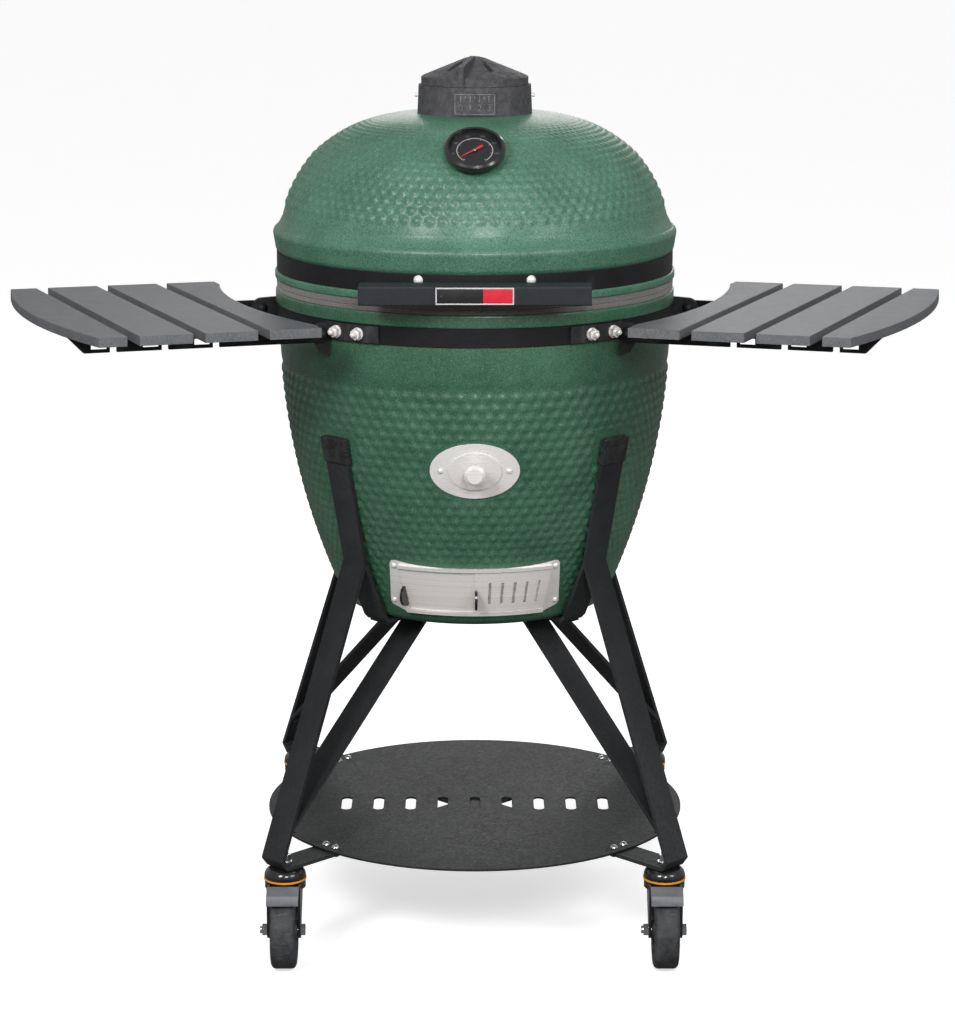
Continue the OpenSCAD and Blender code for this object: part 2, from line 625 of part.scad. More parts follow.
module outer_slat_2d() intersection() {
    translate([slat_in + 3 * slat_pitch, slat_mid_y - slat_l / 2]) square([slat_w - 4, slat_l]);
    translate([slat_in + 3 * slat_pitch + slat_w - 4 - outer_bow_r, slat_mid_y])
        circle(r = outer_bow_r, $fn = 200);
}
module slats() risen() translate([0, 0, arm_z[1]]) linear_extrude(slat_t) {
    difference() {
        slat_blank(0);
        translate([slat_in + 29 - inner_bow_r, slat_mid_y - 5]) circle(r = inner_bow_r, $fn = 200);
    }
    slat_blank(1);
    slat_blank(2);
    outer_slat_2d();
}
module slat_blank(i) translate([slat_in + i * slat_pitch, slat_mid_y - slat_l / 2])
    square([slat_w, slat_l]);
module left_slats() color(slat_grey) shelf_frame() slats();
module right_slats() color(slat_grey) mirror([1, 0, 0]) shelf_frame() slats();

hook_x = [388, 454, 520];
hook_gap = 9;
hook_reach = 24;
module arm_outline(last) difference() {
    union() {
        polygon([[pivot[0], arm_z[0]], [last - 20, arm_z[0]], [last, arm_z[1]], [pivot[0], arm_z[1]]]);
        translate(pivot) circle(r = 10);
    }
    translate(pivot) circle(r = 4 + bore_play);
}
// A utensil hook is an L-shaped notch in the front arm's lower edge.
module hook_notch(x) {
    translate([x, arm_z[0] - 1]) square([hook_gap, 13]);
    translate([x, arm_z[0] + 7]) square([hook_gap + 4, 5]);
    translate([x + hook_gap + 3.5, arm_z[0] + 4]) square([hook_reach - 3.5, 8]);
}
module front_arm() translate([0, front_arm_y + arm_t, 0]) rotate([90, 0, 0]) linear_extrude(arm_t)
    difference() {
        arm_outline(arm_end);
        for (x = hook_x) hook_notch(x);
    }
module rear_arm() translate([0, rear_arm_y + arm_t, 0]) rotate([90, 0, 0]) linear_extrude(arm_t)
    arm_outline(arm_end - 14);
module cross_tie(x) translate([x, rear_arm_y + arm_t, arm_z[1] - 3])
    cube([30, front_arm_y - rear_arm_y - arm_t, 3]);
module arms() risen() {
    front_arm();
    rear_arm();
    cross_tie(slat_in + 20);
    cross_tie(slat_in + 3 * slat_pitch + 10);
}
module left_arms() color(powder_black) shelf_frame() arms();
module right_arms() color(powder_black) mirror([1, 0, 0]) shelf_frame() arms();

// Bracket plates beside the arms, with flanges that wrap the lower band.
module bracket_plate(y, inner_x) translate([0, y + arm_t, 0]) rotate([90, 0, 0])
    linear_extrude(arm_t) difference() {
        union() {
            translate(pivot) circle(r = 14);
            polygon([[inner_x, 829], [pivot[0], 827.5], [pivot[0] + 10, 804], [pivot[0] + 2, 790],
                [inner_x + 14, 783], [inner_x, 788]]);
        }
        translate(pivot) circle(r = 4);
    }
module shelf_brackets() color(powder_black) mirrored() {
    difference() {
        shelf_frame() {
            bracket_plate(front_arm_y - arm_t - 1, 225);
            bracket_plate(rear_arm_y + arm_t + 1, 205);
        }
        band_clearance();
    }
    ring_flange(224.6, 227.8, band_outer_r + 1.1);
    ring_flange(227.3, 243, lug_r);
    ring_flange(152, 171, lug_r);
}
// A flange against the lower band. It is thin where the front arm turns past it.
module ring_flange(a0, a1, r) sector([[band_outer_r + 0.05, 808], [r, 808], [r, 829.5],
    [band_outer_r + 0.05, 829.5]], a0, a1);

module pivot_bolt(y0, y1) translate([pivot[0], y0, pivot[1]]) rotate([-90, 0, 0]) {
    cylinder(r = 4, h = y1 - y0);
    translate([0, 0, y1 - y0]) intersection() {
        translate([0, 0, -3]) sphere(r = 8, $fn = 32);
        cylinder(r = 9, h = 6);
    }
    translate([0, 0, -6]) hex(7.4, 6);
}
module pivot_bolts() color(iron_grey) both_shelves() {
    pivot_bolt(front_arm_y - arm_t - 1, front_arm_y + arm_t + 0.5);
    pivot_bolt(rear_arm_y - 0.5, rear_arm_y + 2 * arm_t + 1);
}

base_shell();
dome_shell();
base_gasket();
dome_gasket();
firebox();
fire_ring();
charcoal_grate();
cooking_grate();
lower_band();
upper_band();
band_bolts();
hinge_lower();
hinge_upper();
hinge_pin();
hinge_springs();
handle_bar();
handle_brackets();
name_plate();
lid_screws();
thermometer_case();
thermometer_dial();
thermometer_needle();
thermometer_lens();
vent_base();
vent_top();
draft_frame();
draft_door();
draft_screen();
port_plate();
port_plug();
front_screws();
leg_front_left();
leg_front_right();
leg_rear_left();
leg_rear_right();
leg_caps();
bottom_shelf();
stand_bolts();
caster_cups();
caster_rings();
fork_front_left();
fork_front_right();
fork_rear_left();
fork_rear_right();
axle_front_left();
axle_front_right();
axle_rear_left();
axle_rear_right();
wheel_front_left();
wheel_front_right();
wheel_rear_left();
wheel_rear_right();
brake_front_left();
brake_front_right();
shelf_brackets();
pivot_bolts();
left_arms();
right_arms();
left_slats();
right_slats();
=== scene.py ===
"""Looks of the kamado grill: materials, the dimpled ceramic shells and the small visible details.

Lengths named in millimetres are turned into metres with MM. Every piece is in the row frame."""

import json
import math
import random

import bmesh
import bpy
import numpy as np
from mathutils import Matrix, Vector


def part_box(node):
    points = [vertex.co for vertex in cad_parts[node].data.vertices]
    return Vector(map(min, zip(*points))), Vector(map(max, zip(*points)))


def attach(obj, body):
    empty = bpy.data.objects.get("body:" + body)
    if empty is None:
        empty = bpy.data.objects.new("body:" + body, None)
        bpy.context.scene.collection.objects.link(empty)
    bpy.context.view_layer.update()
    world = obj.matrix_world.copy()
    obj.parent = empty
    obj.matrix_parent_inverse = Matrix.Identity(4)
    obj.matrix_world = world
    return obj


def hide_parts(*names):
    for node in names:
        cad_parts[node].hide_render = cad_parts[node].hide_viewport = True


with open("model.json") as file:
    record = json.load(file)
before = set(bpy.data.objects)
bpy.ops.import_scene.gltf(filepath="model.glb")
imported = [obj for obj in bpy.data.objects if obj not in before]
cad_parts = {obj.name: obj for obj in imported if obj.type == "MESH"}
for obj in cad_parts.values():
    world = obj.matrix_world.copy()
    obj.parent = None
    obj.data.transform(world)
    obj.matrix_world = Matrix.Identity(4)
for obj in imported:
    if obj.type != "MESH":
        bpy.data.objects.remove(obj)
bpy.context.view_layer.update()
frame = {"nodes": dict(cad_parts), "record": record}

MM = 0.001
NODES = frame["nodes"]
SLOT_OF = {s["node"]: s["material_slot"] for s in frame["record"]["subparts"]}


# ------------------------------------------------------------------ materials


class Finish:
    """A Principled material and short helpers for its texture nodes, which use object coordinates."""

    def __init__(self, name, **sockets):
        self.material = bpy.data.materials.new(name)
        self.material.use_nodes = True
        self.tree = self.material.node_tree
        self.shader = self.tree.nodes["Principled BSDF"]
        for socket, value in sockets.items():
            self.shader.inputs[socket.replace("_", " ")].default_value = value
        self.coords = self.node("ShaderNodeTexCoord").outputs["Object"]

    def node(self, kind, inputs=(), **settings):
        made = self.tree.nodes.new(kind)
        for key, value in settings.items():
            setattr(made, key, value)
        for socket, value in dict(inputs).items():
            if isinstance(value, bpy.types.NodeSocket):
                self.tree.links.new(value, made.inputs[socket])
            else:
                made.inputs[socket].default_value = value
        return made

    def stretched(self, scale):
        """Object coordinates scaled by a vector, for brushed and flowing patterns."""
        made = self.node("ShaderNodeMapping", {"Vector": self.coords, "Scale": scale})
        return made.outputs["Vector"]

    def noise(self, scale, detail=2.0, roughness=0.5, coords=None):
        made = self.node(
            "ShaderNodeTexNoise",
            {
                "Vector": coords or self.coords,
                "Scale": scale,
                "Detail": detail,
                "Roughness": roughness,
            },
        )
        return made.outputs["Fac"]

    def cells(self, scale, feature="F1"):
        made = self.node(
            "ShaderNodeTexVoronoi",
            {"Vector": self.coords, "Scale": scale},
            feature=feature,
        )
        return made.outputs["Distance"]

    def ranged(self, value, low, high, to_low, to_high):
        made = self.node(
            "ShaderNodeMapRange",
            {
                "Value": value,
                "From Min": low,
                "From Max": high,
                "To Min": to_low,
                "To Max": to_high,
            },
        )
        return made.outputs["Result"]

    def mixed(self, fac, a, b):
        """Colour from a to b as fac goes from 0 to 1."""
        made = self.node("ShaderNodeMix", data_type="RGBA")
        for index, value in ((0, fac), (6, a), (7, b)):
            if isinstance(value, bpy.types.NodeSocket):
                self.tree.links.new(value, made.inputs[index])
            else:
                made.inputs[index].default_value = value
        return made.outputs[2]

    def colour(self, socket):
        self.tree.links.new(socket, self.shader.inputs["Base Color"])
        return self

    def rough(self, value, low, high, to_low, to_high):
        ranged = self.ranged(value, low, high, to_low, to_high)
        self.tree.links.new(ranged, self.shader.inputs["Roughness"])
        return self

    def bumps(self, *layers):
        """Each layer is (height, depth in metres). They add up to one normal."""
        normal = None
        for height, distance in layers:
            inputs = {"Height": height, "Distance": distance, "Strength": 1.0}
            if normal:
                inputs["Normal"] = normal
            normal = self.node("ShaderNodeBump", inputs).outputs["Normal"]
        self.tree.links.new(normal, self.shader.inputs["Normal"])
        return self

    def worn_edges(self, colour, worn, low=0.52, high=0.60):
        """Mixes a worn colour in along convex edges, broken up by noise."""
        pointiness = self.node("ShaderNodeNewGeometry").outputs["Pointiness"]
        broken = self.noise(180, 3)
        edge = self.ranged(pointiness, low, high, 0, 1)
        amount = self.node(
            "ShaderNodeMath", {0: edge, 1: broken}, operation="MULTIPLY"
        ).outputs["Value"]
        return self.mixed(amount, colour, worn)


def rgb(r, g, b):
    return (r, g, b, 1.0)


def shade(colour, factor, lift=0.0):
    """A colour made darker or lighter by a factor, then lifted, and held at 1."""
    return tuple(min(1.0, c * factor + lift) for c in colour[:3]) + (1.0,)


def glaze(name, deep, light, speck, coat):
    """Glazed ceramic: clouded green with dark grain, pale specks and a pitted clear coat."""
    f = Finish(name, Coat_Weight=coat, Coat_Roughness=0.22, Specular_IOR_Level=0.4)
    clouds = f.ranged(f.noise(14, 4, 0.6), 0.35, 0.65, 0, 1)
    grain = f.ranged(f.noise(420, 3, 0.7), 0.36, 0.64, 0, 1)
    specks = f.ranged(f.noise(900, 2, 0.6), 0.60, 0.72, 0, 0.8)
    body = f.mixed(clouds, deep, light)
    darkened = f.mixed(f.ranged(grain, 0, 1, 0.55, 0), body, rgb(0.006, 0.03, 0.016))
    grained = f.mixed(grain, darkened, body)
    f.colour(f.mixed(specks, grained, speck))
    f.rough(grain, 0, 1, 0.52, 0.38)
    return f.bumps((f.noise(360, 3, 0.6), 0.0005), (f.noise(1100, 1), 0.0002))


def raw_clay(name, base, stain):
    """Unglazed refractory clay with grit, pores and smoke stains."""
    f = Finish(name, Specular_IOR_Level=0.25)
    smoke = f.ranged(f.noise(9, 5, 0.65), 0.40, 0.66, 0, 0.85)
    grit = f.ranged(f.noise(700, 2), 0.35, 0.65, 0.75, 1)
    tinted = f.mixed(grit, rgb(0.20, 0.14, 0.09), base)
    f.colour(f.mixed(smoke, tinted, stain))
    f.rough(f.noise(300), 0.3, 0.7, 0.82, 0.98)
    return f.bumps((f.noise(260, 4, 0.65), 0.0009), (f.cells(520), 0.0003))


def powder_coat(name, base, worn, grain, depth, rough):
    """Baked powder paint: orange peel, slight colour drift and rubbed edges."""
    f = Finish(name, Specular_IOR_Level=0.25)
    drift = f.ranged(f.noise(30, 3), 0.35, 0.65, 0, 1)
    f.colour(f.worn_edges(f.mixed(drift, base, shade(base, 1.45)), worn))
    f.rough(f.noise(grain * 0.5, 2), 0.3, 0.7, rough - 0.07, rough + 0.09)
    return f.bumps((f.noise(grain, 2, 0.55), depth))


def speckled_board(name):
    """Composite slat: dark graphite with fine pale grains and a pebbled surface."""
    f = Finish(name, Specular_IOR_Level=0.55)
    grains = f.ranged(f.noise(820, 2, 0.7), 0.46, 0.66, 0, 1)
    patches = f.ranged(f.noise(45, 3), 0.35, 0.65, 0, 1)
    base = f.mixed(patches, rgb(0.060, 0.063, 0.070), rgb(0.084, 0.088, 0.097))
    speckled = f.mixed(grains, base, rgb(0.20, 0.21, 0.22))
    f.colour(f.worn_edges(speckled, rgb(0.16, 0.165, 0.17)))
    f.rough(grains, 0, 1, 0.50, 0.64)
    return f.bumps((f.noise(640, 3, 0.65), 0.0006))


def cast_iron(name, base, rust):
    """Sand-cast iron: a pebbled skin, darker hollows and traces of rust or ash."""
    f = Finish(name, Metallic=0.15, Specular_IOR_Level=0.4)
    mottle = f.ranged(f.noise(110, 4, 0.65), 0.36, 0.64, 0, 1)
    traces = f.ranged(f.noise(24, 5, 0.7), 0.60, 0.74, 0, 0.6)
    f.colour(f.mixed(traces, f.mixed(mottle, shade(base, 0.62), base), rust))
    f.rough(mottle, 0, 1, 0.72, 0.56)
    return f.bumps((f.noise(430, 3, 0.6), 0.0007), (f.cells(260), 0.0003))


def steel(name, base, rough, brush, depth=0.00006):
    """Satin stainless steel: brush is the scale of its brushed pattern in x, y and z. Its pale colour is
    partly the steel's own tone and partly a painted reflection of a bright studio.
    """
    # Low metallic with a near-white base colour: much of the steel's brightness is a painted reflection,
    # laid on as diffuse colour.
    f = Finish(name, Metallic=0.18, Anisotropic=0.3, Specular_IOR_Level=0.8)
    lines = f.noise(1.0, 4, 0.7, f.stretched(brush))
    smears = f.ranged(f.noise(22, 4, 0.6), 0.35, 0.7, 0, 1)
    f.colour(f.mixed(f.ranged(lines, 0.3, 0.7, 0, 1), shade(base, 0.84), base))
    both = f.node("ShaderNodeMath", {0: lines, 1: smears}, operation="ADD").outputs["Value"]
    f.rough(both, 0.4, 1.5, rough - 0.06, rough + 0.10)
    return f.bumps((lines, depth))


def plated(name, base, rough, spots):
    """Plated or polished small hardware with a faint cloudiness."""
    f = Finish(name, Metallic=1.0)
    cloud = f.ranged(f.noise(240, 4, 0.6), 0.35, 0.7, 0, 1)
    f.colour(f.mixed(cloud, base, spots))
    f.rough(cloud, 0, 1, rough, rough + 0.16)
    return f.bumps((f.noise(900, 2), 0.00005))


def enamel(name, base, rough):
    """Gloss enamel with a faint orange peel and a drift in its colour."""
    f = Finish(name, Coat_Weight=0.6, Coat_Roughness=0.08)
    drift = f.ranged(f.noise(80, 3, 0.6), 0.35, 0.65, 0, 1)
    f.colour(f.mixed(drift, base, shade(base, 1.25)))
    f.rough(f.noise(60, 3), 0.3, 0.7, rough - 0.05, rough + 0.08)
    return f.bumps((f.noise(220, 2), 0.00012))


def felt(name):
    """Dense felt: a tangle of short fibres in greys and browns."""
    f = Finish(name, Specular_IOR_Level=0.1, Sheen_Weight=0.35, Sheen_Roughness=0.6)
    fibres = f.noise(1.0, 4, 0.7, f.stretched((900, 900, 2600)))
    pale = f.ranged(fibres, 0.35, 0.65, 0, 1)
    f.colour(f.mixed(pale, rgb(0.050, 0.044, 0.042), rgb(0.23, 0.20, 0.19)))
    f.rough(fibres, 0.3, 0.7, 0.88, 1.0)
    return f.bumps((fibres, 0.0007), (f.noise(160, 3), 0.0008))


def rubber(name, base, dusty):
    """Moulded rubber with a dusty bloom and scuffs."""
    f = Finish(name, Specular_IOR_Level=0.35)
    bloom = f.ranged(f.noise(70, 5, 0.65), 0.38, 0.68, 0, 1)
    scuffs = f.ranged(f.noise(1.0, 3, 0.6, f.stretched((90, 420, 420))), 0.6, 0.7, 0, 0.5)
    f.colour(f.mixed(scuffs, f.mixed(bloom, base, dusty), rgb(0.15, 0.15, 0.15)))
    f.rough(bloom, 0, 1, 0.55, 0.82)
    return f.bumps((f.noise(700, 2), 0.0002))


def plastic(name, base, rough, grain=900, depth=0.00012):
    """Moulded plastic with a fine spark-eroded grain."""
    f = Finish(name, Specular_IOR_Level=0.30)
    drift = f.ranged(f.noise(60, 3), 0.35, 0.65, 0, 1)
    f.colour(f.worn_edges(f.mixed(drift, shade(base, 0.8), base), shade(base, 1.5, 0.02)))
    f.rough(f.noise(grain * 0.4, 2), 0.3, 0.7, rough - 0.05, rough + 0.08)
    return f.bumps((f.noise(grain, 2), depth))


def clear_glass(name):
    """Thin cover glass: see-through with a sharp reflection and light smudges."""
    f = Finish(name, Base_Color=rgb(0.02, 0.02, 0.02), Alpha=0.10, IOR=1.5)
    f.rough(f.noise(90, 4, 0.7), 0.4, 0.75, 0.02, 0.14)
    return f


RECIPES = {
    "glazed_green": (glaze, rgb(0.030, 0.108, 0.058), rgb(0.053, 0.156, 0.088), rgb(0.22, 0.39, 0.28), 0.5),
    # glazed_green_dome is mixed lighter and greyer than glazed_green: painted light, the top light and grey
    # sheen the dome catches laid into its colour.
    "glazed_green_dome": (
        glaze,
        rgb(0.050, 0.155, 0.095),
        rgb(0.082, 0.215, 0.140),
        rgb(0.30, 0.48, 0.38),
        0.22,
    ),
    "felt": (felt,),
    "fired_clay": (raw_clay, rgb(0.52, 0.38, 0.25), rgb(0.10, 0.08, 0.06)),
    "cast_iron": (cast_iron, rgb(0.060, 0.058, 0.058), rgb(0.13, 0.065, 0.035)),
    # The steel finishes below are pale diffuse colour with little metal: partly their own tone, partly
    # painted reflection.
    "stainless": (steel, rgb(0.93, 0.895, 0.87), 0.22, (3, 3, 900)),
    "brushed_plate": (steel, rgb(0.90, 0.865, 0.84), 0.27, (6, 900, 900), 0.00010),
    "black_powder": (powder_coat, rgb(0.006, 0.006, 0.007), rgb(0.040, 0.040, 0.043), 700, 0.00018, 0.46),
    "textured_black": (powder_coat, rgb(0.012, 0.013, 0.014), rgb(0.045, 0.047, 0.049), 520, 0.00040, 0.56),
    "spring_steel": (steel, rgb(0.36, 0.36, 0.38), 0.30, (600, 40, 40)),
    "handle_black": (plastic, rgb(0.016, 0.018, 0.023), 0.50, 620, 0.00020),
    "plate_face": (steel, rgb(0.74, 0.74, 0.74), 0.26, (900, 6, 6)),
    "bezel_black": (enamel, rgb(0.009, 0.009, 0.010), 0.22),
    "dial_face": (enamel, rgb(0.012, 0.012, 0.015), 0.45),
    "needle_red": (enamel, rgb(0.80, 0.022, 0.030), 0.35),
    "clear_glass": (clear_glass,),
    "vent_iron": (cast_iron, rgb(0.088, 0.086, 0.095), rgb(0.10, 0.092, 0.092)),
    "black_rubber": (rubber, rgb(0.012, 0.012, 0.013), rgb(0.030, 0.030, 0.031)),
    "zinc": (plated, rgb(0.70, 0.73, 0.76), 0.20, rgb(0.52, 0.54, 0.55)),
    "gloss_black": (enamel, rgb(0.008, 0.008, 0.009), 0.20),
    "orange_plastic": (plastic, rgb(0.85, 0.30, 0.015), 0.32),
    "wheel_rubber": (rubber, rgb(0.030, 0.031, 0.034), rgb(0.072, 0.075, 0.080)),
    "grey_plastic": (plastic, rgb(0.145, 0.152, 0.165), 0.38),
    "slat_grey": (speckled_board,),
}
FINISHES = {name: maker(name, *values) for name, (maker, *values) in RECIPES.items()}
CLAY_INSIDE = raw_clay("clay_inside", rgb(0.30, 0.24, 0.17), rgb(0.030, 0.026, 0.022)).material
WHITE_PRINT = enamel("white_print", rgb(0.60, 0.60, 0.60), 0.5).material
FAINT_PRINT = enamel("faint_print", rgb(0.20, 0.20, 0.22), 0.5).material
# Iron mixed lighter than the vent panel for its raised scale: a painted highlight on the relief, which is
# the panel's own iron.
RELIEF_HIGHLIGHT_IRON = cast_iron("relief_highlight_iron", rgb(0.20, 0.198, 0.21), rgb(0.15, 0.14, 0.14)).material
RED_FIELD = enamel("red_field", rgb(0.56, 0.012, 0.030), 0.32).material
BLACK_FIELD = enamel("black_field", rgb(0.010, 0.010, 0.011), 0.32).material


def finish_of(slot):
    return FINISHES[slot].material


# ------------------------------------------------------------------ mesh tools


def add_piece(name, mesh, body, slot=None, materials=None):
    """Links a mesh as a piece that rides on a body and takes a slot's finish or its own materials."""
    piece = bpy.data.objects.new(name, mesh)
    bpy.context.scene.collection.objects.link(piece)
    for material in materials or [finish_of(slot)]:
        mesh.materials.append(material)
    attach(piece, body)
    return piece


def mesh_from(name, verts, faces, smooth=True):
    mesh = bpy.data.meshes.new(name)
    mesh.from_pydata([tuple(v) for v in verts], [], faces)
    mesh.polygons.foreach_set("use_smooth", [smooth] * len(mesh.polygons))
    mesh.update()
    return mesh


def merged(name, meshes, matrices=None):
    """One mesh out of several, each moved by its matrix."""
    bm = bmesh.new()
    for i, mesh in enumerate(meshes):
        part = mesh.copy()
        if matrices:
            part.transform(matrices[i])
        bm.from_mesh(part)
        bpy.data.meshes.remove(part)
    out = bpy.data.meshes.new(name)
    bm.to_mesh(out)
    bm.free()
    return out


def tube(name, path, radius, sides=10, closed=False):
    """A round tube along a path of points, with flat ends unless it closes on itself."""
    pts = [Vector(p) for p in path]
    n = len(pts)
    verts, faces, normal = [], [], None
    for i, p in enumerate(pts):
        before = pts[i - 1] if closed or i else pts[i]
        after = pts[(i + 1) % n] if closed or i < n - 1 else pts[i]
        along = (after - before).normalized()
        if normal is None:
            normal = along.orthogonal().normalized()
        normal = (normal - along * normal.dot(along)).normalized()
        side = along.cross(normal)
        for k in range(sides):
            a = math.tau * k / sides
            verts.append(p + (normal * math.cos(a) + side * math.sin(a)) * radius)
    for i in range(n if closed else n - 1):
        j = (i + 1) % n
        for k in range(sides):
            m = (k + 1) % sides
            faces.append((i * sides + k, i * sides + m, j * sides + m, j * sides + k))
    if not closed:
        faces.append(tuple(reversed(range(sides))))
        faces.append(tuple(range((n - 1) * sides, n * sides)))
    return mesh_from(name, verts, faces)


def block(name, low, high, edge):
    """A box between two corners in metres with its edges rounded by edge."""
    bm = bmesh.new()
    bmesh.ops.create_cube(bm, size=1.0)
    size, centre = Vector(high) - Vector(low), (Vector(high) + Vector(low)) / 2
    for v in bm.verts:
        v.co = centre + Vector(v.co[i] * size[i] for i in range(3))
    bmesh.ops.bevel(bm, geom=list(bm.edges), offset=edge, segments=3, profile=0.6, affect="EDGES")
    mesh = bpy.data.meshes.new(name)
    bm.to_mesh(mesh)
    bm.free()
    mesh.polygons.foreach_set("use_smooth", [True] * len(mesh.polygons))
    return mesh


def domed_head(name, radius, height, slot_width=0.0, rings=6, sides=24):
    """A screw's domed head on the XY plane, with a shallow cross in it where slot_width is given."""
    verts, faces = [], []
    for i in range(rings + 1):
        a = math.pi / 2 * i / rings
        r, z = radius * math.cos(a), height * math.sin(a)
        for k in range(sides):
            b = math.tau * k / sides
            x, y = r * math.cos(b), r * math.sin(b)
            in_cross = min(abs(x), abs(y)) < slot_width / 2 and math.hypot(x, y) < radius * 0.6
            verts.append((x, y, z - (height * 0.45 if in_cross else 0)))
    for i in range(rings):
        for k in range(sides):
            m = (k + 1) % sides
            faces.append((i * sides + k, i * sides + m, (i + 1) * sides + m, (i + 1) * sides + k))
    faces.append(tuple(reversed(range(sides))))
    return mesh_from(name, verts, faces)


def lettering(name, text, size, height):
    """Generic scale digits as a thin raised mesh on the XY plane, centred on the origin."""
    curve = bpy.data.curves.new(name, "FONT")
    curve.body, curve.size, curve.extrude = text, size, height / 2
    curve.align_x, curve.align_y = "CENTER", "CENTER"
    holder = bpy.data.objects.new(name, curve)
    bpy.context.scene.collection.objects.link(holder)
    bpy.context.view_layer.update()
    mesh = bpy.data.meshes.new_from_object(holder.evaluated_get(bpy.context.evaluated_depsgraph_get()))
    bpy.data.objects.remove(holder)
    bpy.data.curves.remove(curve)
    mesh.materials.clear()
    return mesh


def placed(origin, x_axis, z_axis):
    """A matrix that puts the XY plane at origin, facing z_axis."""
    z = Vector(z_axis).normalized()
    x = (Vector(x_axis) - z * Vector(x_axis).dot(z)).normalized()
    rotation = Matrix((x, z.cross(x), z)).transposed().to_4x4()
    return Matrix.Translation(Vector(origin)) @ rotation


# ------------------------------------------------------------------ CAD nodes: finish and soft edges

EDGE_MM = {
    "slats": 1.3,
    "arms": 0.7,
    "leg_": 0.8,
    "leg_caps": 1.6,
    "handle_bar": 0.9,
    "handle_brackets": 0.8,
    "bottom_shelf": 0.6,
    "hinge_lower": 0.8,
    "hinge_upper": 0.8,
    "shelf_brackets": 0.8,
    "vent_base": 0.9,
    "vent_top": 0.9,
    "fork_": 0.7,
    "brake_": 1.2,
    "caster_cups": 0.8,
    "thermometer_case": 0.8,
    "name_plate": 0.25,
    "draft_": 0.25,
    "port_": 0.3,
    "band": 0.4,
    "firebox": 3.0,
    "fire_ring": 3.0,
    "charcoal_grate": 1.2,
    "stand_bolts": 0.35,
    "axle_": 0.4,
    "wheel_": 1.2,
    "gasket": 1.0,
    "pivot_bolts": 0.4,
}
EDGE_ANGLE = math.radians(38)


def edge_width(node):
    """The rounding of a node's edges in metres, from the longest key that its name holds."""
    found = [k for k in EDGE_MM if k in node]
    return EDGE_MM[max(found, key=len)] * MM if found else 0.0


def dress_node(node, piece):
    """Gives a CAD node its finish, and rounds its edges without moving its faces."""
    for slot in piece.material_slots:
        slot.material = finish_of(SLOT_OF[node])
    width = edge_width(node)
    if not width:
        return
    weld = piece.modifiers.new("weld", "WELD")
    weld.merge_threshold = 0.00002
    bevel = piece.modifiers.new("soft_edges", "BEVEL")
    bevel.width, bevel.segments, bevel.profile = width, 2, 0.6
    bevel.limit_method, bevel.angle_limit = "ANGLE", EDGE_ANGLE
    bevel.use_clamp_overlap = True
    weighted = piece.modifiers.new("weighted_normals", "WEIGHTED_NORMAL")
    weighted.weight = 60


for node_name, node_piece in NODES.items():
    dress_node(node_name, node_piece)


# ------------------------------------------------------------------ ceramic shells

RIM_Z, WALL, INNER_R = 854.5, 24.0, 238.0
BELLY_C, BELLY_R = (-662.0, 810.0), 919.5
SHOULDER_C, SHOULDER_R = (72.0, 900.0), 186.0
CROWN_C, CROWN_R = (79.0, 884.5), 191.7
BASE_Z, BELLY_TOP_Z = 427.5, 751.0
BUMP_HEIGHT_SHARE = 0.14
BUMP_RADIUS_SHARE = 0.47
ROW_SHARE = 0.76
COLUMNS_PER_BUMP = 6
SAMPLES_PER_ROW = 5
SHORTEST_ROW = 6.0
BASE_BUMPS, DOME_BUMPS = 90, 96
DOME_LIP_Z, CROWN_JOIN_Z, COLLAR_TOP_Z, CHIMNEY_R = 863.0, 1022.4, 943.4, 62.0
OPENING_HALF_W, OPENING_H, PORT_HOLE = 70.0, 46.0, (28.0, 20.0)
PROBE_HOLE_R = 6.5


def arc(centre, radius, from_deg, to_deg, steps):
    """Points on an arc in the (r, z) plane, both ends included."""
    angles = [math.radians(from_deg + (to_deg - from_deg) * i / steps) for i in range(steps + 1)]
    return [(centre[0] + radius * math.cos(a), centre[1] + radius * math.sin(a)) for a in angles]


def angle_at(centre, radius, z):
    return math.degrees(math.asin((z - centre[1]) / radius))


def rounded(points, radius, steps=4):
    """An open outline with its inner corners replaced by small curves."""
    out = [points[0]]
    for a, b, c in zip(points, points[1:], points[2:], strict=False):
        a, b, c = Vector(a), Vector(b), Vector(c)
        cut = min(radius, (a - b).length * 0.45, (c - b).length * 0.45)
        p, q = b + (a - b).normalized() * cut, b + (c - b).normalized() * cut
        for i in range(steps + 1):
            t = i / steps
            out.append(tuple(p * (1 - t) ** 2 + b * 2 * t * (1 - t) + q * t * t))
    out.append(points[-1])
    return out


def bump_rows(line, count, skip_start=0.6):
    """Distances along a profile line at which rows of bumps sit, spaced by the local pitch."""
    lengths = np.concatenate([[0], np.cumsum(np.hypot(*np.diff(np.array(line), axis=0).T))])
    radii = np.array(line)[:, 0]
    rows = []
    s = math.tau * radii[0] / count * ROW_SHARE * skip_start
    while s < lengths[-1]:
        pitch = math.tau * float(np.interp(s, lengths, radii)) / count
        rows.append((s, pitch))
        s += pitch * ROW_SHARE
    return rows, lengths


def resampled(line, rows, lengths):
    """The line with SAMPLES_PER_ROW points between bump rows, and each point's distance along it."""
    marks = [0.0]
    stops = [r[0] for r in rows] + [float(lengths[-1])]
    for a, b in zip([0.0] + stops, stops, strict=False):
        steps = SAMPLES_PER_ROW if b - a > SHORTEST_ROW else 2
        marks += [a + (b - a) * (i + 1) / steps for i in range(steps)]
    line = np.array(line)
    return [tuple(float(np.interp(s, lengths, line[:, k])) for k in (0, 1)) for s in marks], marks


